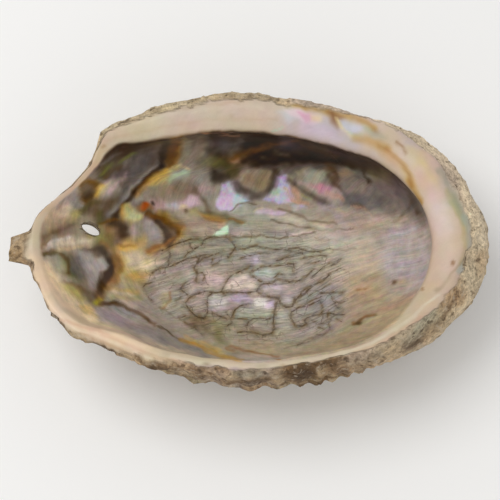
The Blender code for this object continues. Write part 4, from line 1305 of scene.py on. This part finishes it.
def paint_hole_wall_lit(mesh, pin_place):
    """Gives the wall of the open hole a light tan, painted light against the shade inside it; the cut leaves
    its corners unpainted.
    """
    count = len(mesh.vertices)
    places = np.empty(count * 3, np.float32)
    mesh.vertices.foreach_get("co", places)
    turned = np.array(pin_place.inverted())
    inside_pin = places.reshape(-1, 3) @ turned[:3, :3].T + turned[:3, 3]
    reach = np.hypot(inside_pin[:, 0] / (HOLE_LENGTH * MM), inside_pin[:, 1] / (HOLE_WIDTH * MM)) * 2
    wall = (np.abs(reach - 1) < 0.03) & (np.abs(inside_pin[:, 2]) < HOLE_PIN * MM / 2)
    for name, field, value in (("paint", "color", HOLE_WALL_LIT), ("finish", "vector", (0, 0, 0)),
                               ("lines", "vector", (9, 0, 0))):
        data = mesh.attributes[name].data
        kept = np.empty(count * len(value), np.float32)
        data.foreach_get(field, kept)
        kept.reshape(count, -1)[wall] = value
        data.foreach_set(field, kept)


def abalone_shell():
    """The whole shell as one closed mesh, painted and with its breathing hole cut."""
    body, points, ring, heading, stage = shell_shape()
    colour, finish, lines = shell_colours(points, ring, heading, stage)
    flow = flow_places(points, stage)
    points[:, :2] += np.array(SHELL_SHIFT)
    place_vertices(body, points * MM)
    mesh = bpy.data.meshes.new("abalone_shell")
    body.to_mesh(mesh)
    body.free()
    mesh.shade_smooth()
    painted = np.concatenate([colour, np.ones((len(colour), 1))], axis=1)
    mesh.attributes.new("paint", "FLOAT_COLOR", "POINT").data.foreach_set("color", painted.ravel())
    mesh.attributes.new("finish", "FLOAT_VECTOR", "POINT").data.foreach_set("vector", finish.ravel())
    mesh.attributes.new("flow", "FLOAT_VECTOR", "POINT").data.foreach_set("vector", flow.ravel())
    mesh.attributes.new("lines", "FLOAT_VECTOR", "POINT").data.foreach_set("vector", lines.ravel())
    mesh.materials.append(shell_finish())
    shell = bpy.data.objects.new("abalone_shell", mesh)
    bpy.context.scene.collection.objects.link(shell)

    cutter = hole_pin()
    opening = shell.modifiers.new("breathing_hole", "BOOLEAN")
    opening.operation = "DIFFERENCE"
    opening.solver = "EXACT"
    opening.object = cutter
    bpy.context.view_layer.update()
    cut = bpy.data.meshes.new_from_object(shell.evaluated_get(bpy.context.evaluated_depsgraph_get()))
    paint_hole_wall_lit(cut, cutter.matrix_world)
    shell.modifiers.clear()
    shell.data = cut
    bpy.data.objects.remove(cutter)
    return shell


def floor():
    """Plain pale surface under the shell."""
    sheet = bmesh.new()
    bmesh.ops.create_grid(sheet, x_segments=1, y_segments=1, size=FLOOR_SIZE)
    mesh = bpy.data.meshes.new("floor")
    sheet.to_mesh(mesh)
    sheet.free()
    finish = Finish("pale_floor")
    finish.shader.inputs["Base Color"].default_value = (0.93, 0.93, 0.92, 1)
    finish.shader.inputs["Roughness"].default_value = 0.9
    mesh.materials.append(finish.material)
    ground = bpy.data.objects.new("floor", mesh)
    bpy.context.scene.collection.objects.link(ground)


def lamp(name, place, size, power):
    light = bpy.data.lights.new(name, "AREA")
    light.shape = "DISK"
    light.size = size
    light.energy = power
    holder = bpy.data.objects.new(name, light)
    holder.location = place
    holder.rotation_euler = (Vector((0, 0, 0.03)) - Vector(place)).to_track_quat("-Z", "Y").to_euler()
    bpy.context.scene.collection.objects.link(holder)


def studio():
    """Soft white surroundings, a broad lamp from behind on the left and the camera."""
    world = bpy.data.worlds.new("studio")
    world.use_nodes = True
    world.node_tree.nodes["Background"].inputs["Color"].default_value = (1, 0.99, 0.98, 1)
    world.node_tree.nodes["Background"].inputs["Strength"].default_value = WORLD_STRENGTH
    bpy.context.scene.world = world
    lamp("key_lamp", KEY_PLACE, 0.5, KEY_POWER)
    lamp("front_lamp", FRONT_PLACE, 0.6, FRONT_POWER)
    view = bpy.data.cameras.new("camera")
    view.lens = LENS
    view.sensor_width = SENSOR
    camera = bpy.data.objects.new("camera", view)
    camera.location = [part * MM for part in CAMERA_PLACE]
    camera.rotation_euler = (math.pi / 2 - CAMERA_PITCH, 0, 0)
    bpy.context.scene.collection.objects.link(camera)
    bpy.context.scene.camera = camera
    bpy.context.scene.view_settings.view_transform = "Standard"


floor()
studio()
shell = abalone_shell()
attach(shell, "root")
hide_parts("shell")
